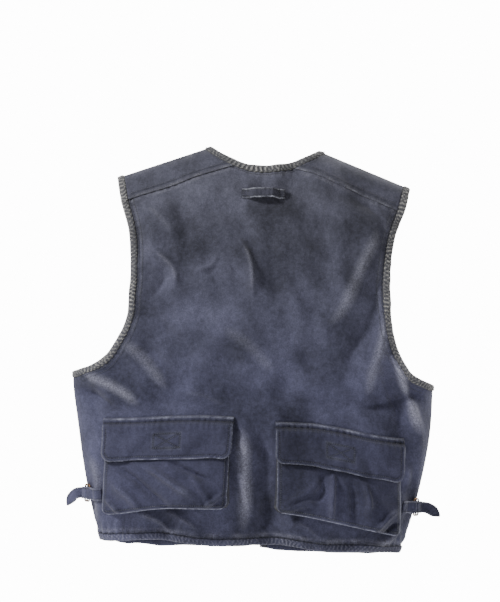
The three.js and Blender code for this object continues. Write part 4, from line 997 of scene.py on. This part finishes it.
strap_wide, z_at, bar_round = 0.0165, -0.488, 0.0027
for side, word in both_sides:
    root_x = float(half_width(z_at)) - 0.0035
    here, normal = skin(side * root_x, z_at, -1, 0.0, creased=False)
    here = here.reshape(3)
    nu = normal.reshape(3) * [1, 1, 0]
    nu /= np.linalg.norm(nu)
    tau = np.array([-nu[1], nu[0], 0]) * side
    at = lambda along, off, up=0.0: here + tau * along + nu * off + np.array([0, 0, up])
    off, pitch = 0.0058, 0.008
    # the wire frame and its middle bar
    w, h, c = pitch, 0.0114, 0.003
    corners = [(w - c, h), (w - 0.3 * c, h - 0.3 * c), (w, h - c), (w, -h + c), (w - 0.3 * c, -h + 0.3 * c),
               (w - c, -h), (-w + c, -h), (-w + 0.3 * c, -h + 0.3 * c), (-w, -h + c), (-w, h - c),
               (-w + 0.3 * c, h - 0.3 * c), (-w + c, h)]
    ring = []
    for (u0, v0), (u1, v1) in zip(corners, corners[1:] + corners[:1]):
        ring += [at(u0 + (u1 - u0) * t, off, v0 + (v1 - v0) * t) for t in (0, 0.25, 0.5, 0.75)]
    frame_wire = rod(word + "_buckle_frame", ring + ring[:1], 0.00125, rust, "back")
    rod(word + "_buckle_bar", [at(0, off, v) for v in np.linspace(-h, h, 8)], 0.00115, rust, "back")
    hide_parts(word + "_adjuster_buckle")
    # tab from the pocket's edge round the back bar
    xs = np.linspace(0.2065, root_x - 0.0085, 8)
    flat_p, flat_n = skin(side * xs, np.full(8, z_at), -1, 0.0024)
    turn = np.radians(np.arange(100, -181, -28))
    eye = [at(-pitch + bar_round * math.cos(t), off + bar_round * math.sin(t)) for t in turn]
    eye_n = [nu * math.sin(t) + tau * math.cos(t) for t in turn]
    tab = ribbon(word + "_adjuster_tab_cloth", np.vstack([flat_p, eye]), np.vstack([flat_n, eye_n]),
                 0.017, "back")
    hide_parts(word + "_adjuster_tab")
    # strap from the side seam, under the buckle's front bar and back over it
    turn = np.radians(np.arange(-80, -281, -25))
    round_bar = [at(0.0026 * math.cos(t), off + 0.0028 * math.sin(t)) for t in turn]
    round_n = [nu * math.sin(t) + tau * math.cos(t) for t in turn]
    under = [at(0.0135, 0.0018), at(0.009, 0.0022), at(0.004, 0.0026)]
    over_it = [at(0.004, off + 0.0032), at(pitch, off + 0.0034), at(pitch + 0.0022, off + 0.0036)]
    strap = ribbon(word + "_adjuster_strap_cloth", np.vstack([under, round_bar, over_it]),
                   np.vstack([[-nu] * 3, round_n, [nu] * 3]), strap_wide, "back")
    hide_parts(word + "_adjuster_strap")
    # the loose pointed end droops out past the side
    t = np.linspace(0, 1, 24)
    root = at(pitch + 0.0022, off + 0.0036)
    heading = math.radians(60 if side < 0 else 34) * ease(t, 0.0, 0.55)
    steps = np.stack([side * np.cos(heading), -np.sin(heading)], -1)
    went = np.cumsum(steps, 0) * 0.0300 / 24 - [side * 0.0022, 0]
    end = root + np.outer(np.sin(t * 2.4) * 0.0030, nu)
    end[:, 0] += went[:, 0]
    end[:, 2] += went[:, 1]
    facing_n = np.tile(nu * 0.85 + np.array([0, -0.5, 0]), (24, 1))
    point = lambda k: np.where(k < 0.60, 1 - 0.10 * (1 - k / 0.60),
                               1 - (np.maximum(k - 0.60, 0) / 0.40) ** 1.5 * 0.90)
    loose = ribbon(word + "_adjuster_end_cloth", end, facing_n, strap_wide, word + "_strap_end",
                   point)
    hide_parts(word + "_adjuster_strap_end")

# Zip tapes. Woven tape down each front edge behind the binding, carrying the teeth. The
# teeth, stops, box, pin, slider and pull are hard and keep their own shape.
for side, word in both_sides:
    low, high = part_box(word + "_zip_tape")
    a = np.linspace(low[0], high[0], 12)[None, :]
    b = np.linspace(high[2], low[2], 240)[:, None]
    y = (low[1] + high[1]) / 2 - 0.0001 + 0.00025 * cloud(a, b, 0.012, 150)
    p = np.stack(np.broadcast_arrays(a, y, b), -1)
    made = piece(word + "_zip_tape_cloth", p, tape_cloth, word + "_front", thick=0.0007)
    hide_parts(word + "_zip_tape")

moulded = mottled("moulded_zip", 900.0, 3.0, (0.012, 0.015, 0.026), (0.030, 0.035, 0.055), 0.35, 0.6)[0]
finishes = {moulded: ("right_zip_teeth", "left_zip_teeth", "left_zip_box", "right_zip_pin"),
            rust: ("zip_slider", "zip_pull", "right_zip_top_stop", "left_zip_top_stop")}
for finish, nodes in finishes.items():
    for node in nodes:
        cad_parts[node].data.materials.clear()
        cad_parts[node].data.materials.append(finish)

# All the thread, as one piece for each body that it is sewn through.
thread = cloth_material("thread", (0.030, 0.033, 0.050), (0.070, 0.075, 0.105), (0.2, 0.2, 0.22), 0.0004, 0.3)
sides = 6
turn, a_stitch = (np.arange(sides) * math.tau / sides)[:, None], sides * len(stitch)
for body, rings in sewn.items():
    verts, faces, base = [], [], 0
    for k in range(0, len(rings), len(stitch)):
        along = rings[k + 3][0] - rings[k][0]
        along /= np.maximum(np.linalg.norm(along, axis=1, keepdims=True), 1e-9)
        loops = []
        for at, n, high, thick in rings[k : k + len(stitch)]:
            n = unit(n)
            out = np.cos(turn) * np.cross(along, n)[:, None] + np.sin(turn) * n[:, None]
            loops.append((at + n * high)[:, None] + 0.00036 * thick * out)
        block = np.stack(loops, 1)
        verts.append(block.reshape(-1, 3))
        first = base + a_stitch * np.arange(len(block))[:, None]
        for ring in range(len(stitch) - 1):
            for j in range(sides):
                a, b = ring * sides + j, ring * sides + (j + 1) % sides
                faces.append(np.concatenate([first + a, first + b, first + b + sides, first + a + sides], 1))
        base += a_stitch * len(block)
    mesh = bpy.data.meshes.new(body + "_thread")
    mesh.from_pydata(np.concatenate(verts).tolist(), [], np.concatenate(faces).tolist())
    mesh.uv_layers.new(name="cloth")
    mesh.materials.append(thread)
    mesh.shade_smooth()
    made = bpy.data.objects.new(body + "_thread", mesh)
    bpy.context.scene.collection.objects.link(made)
    settle(made, body)

low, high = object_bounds()
list(low)
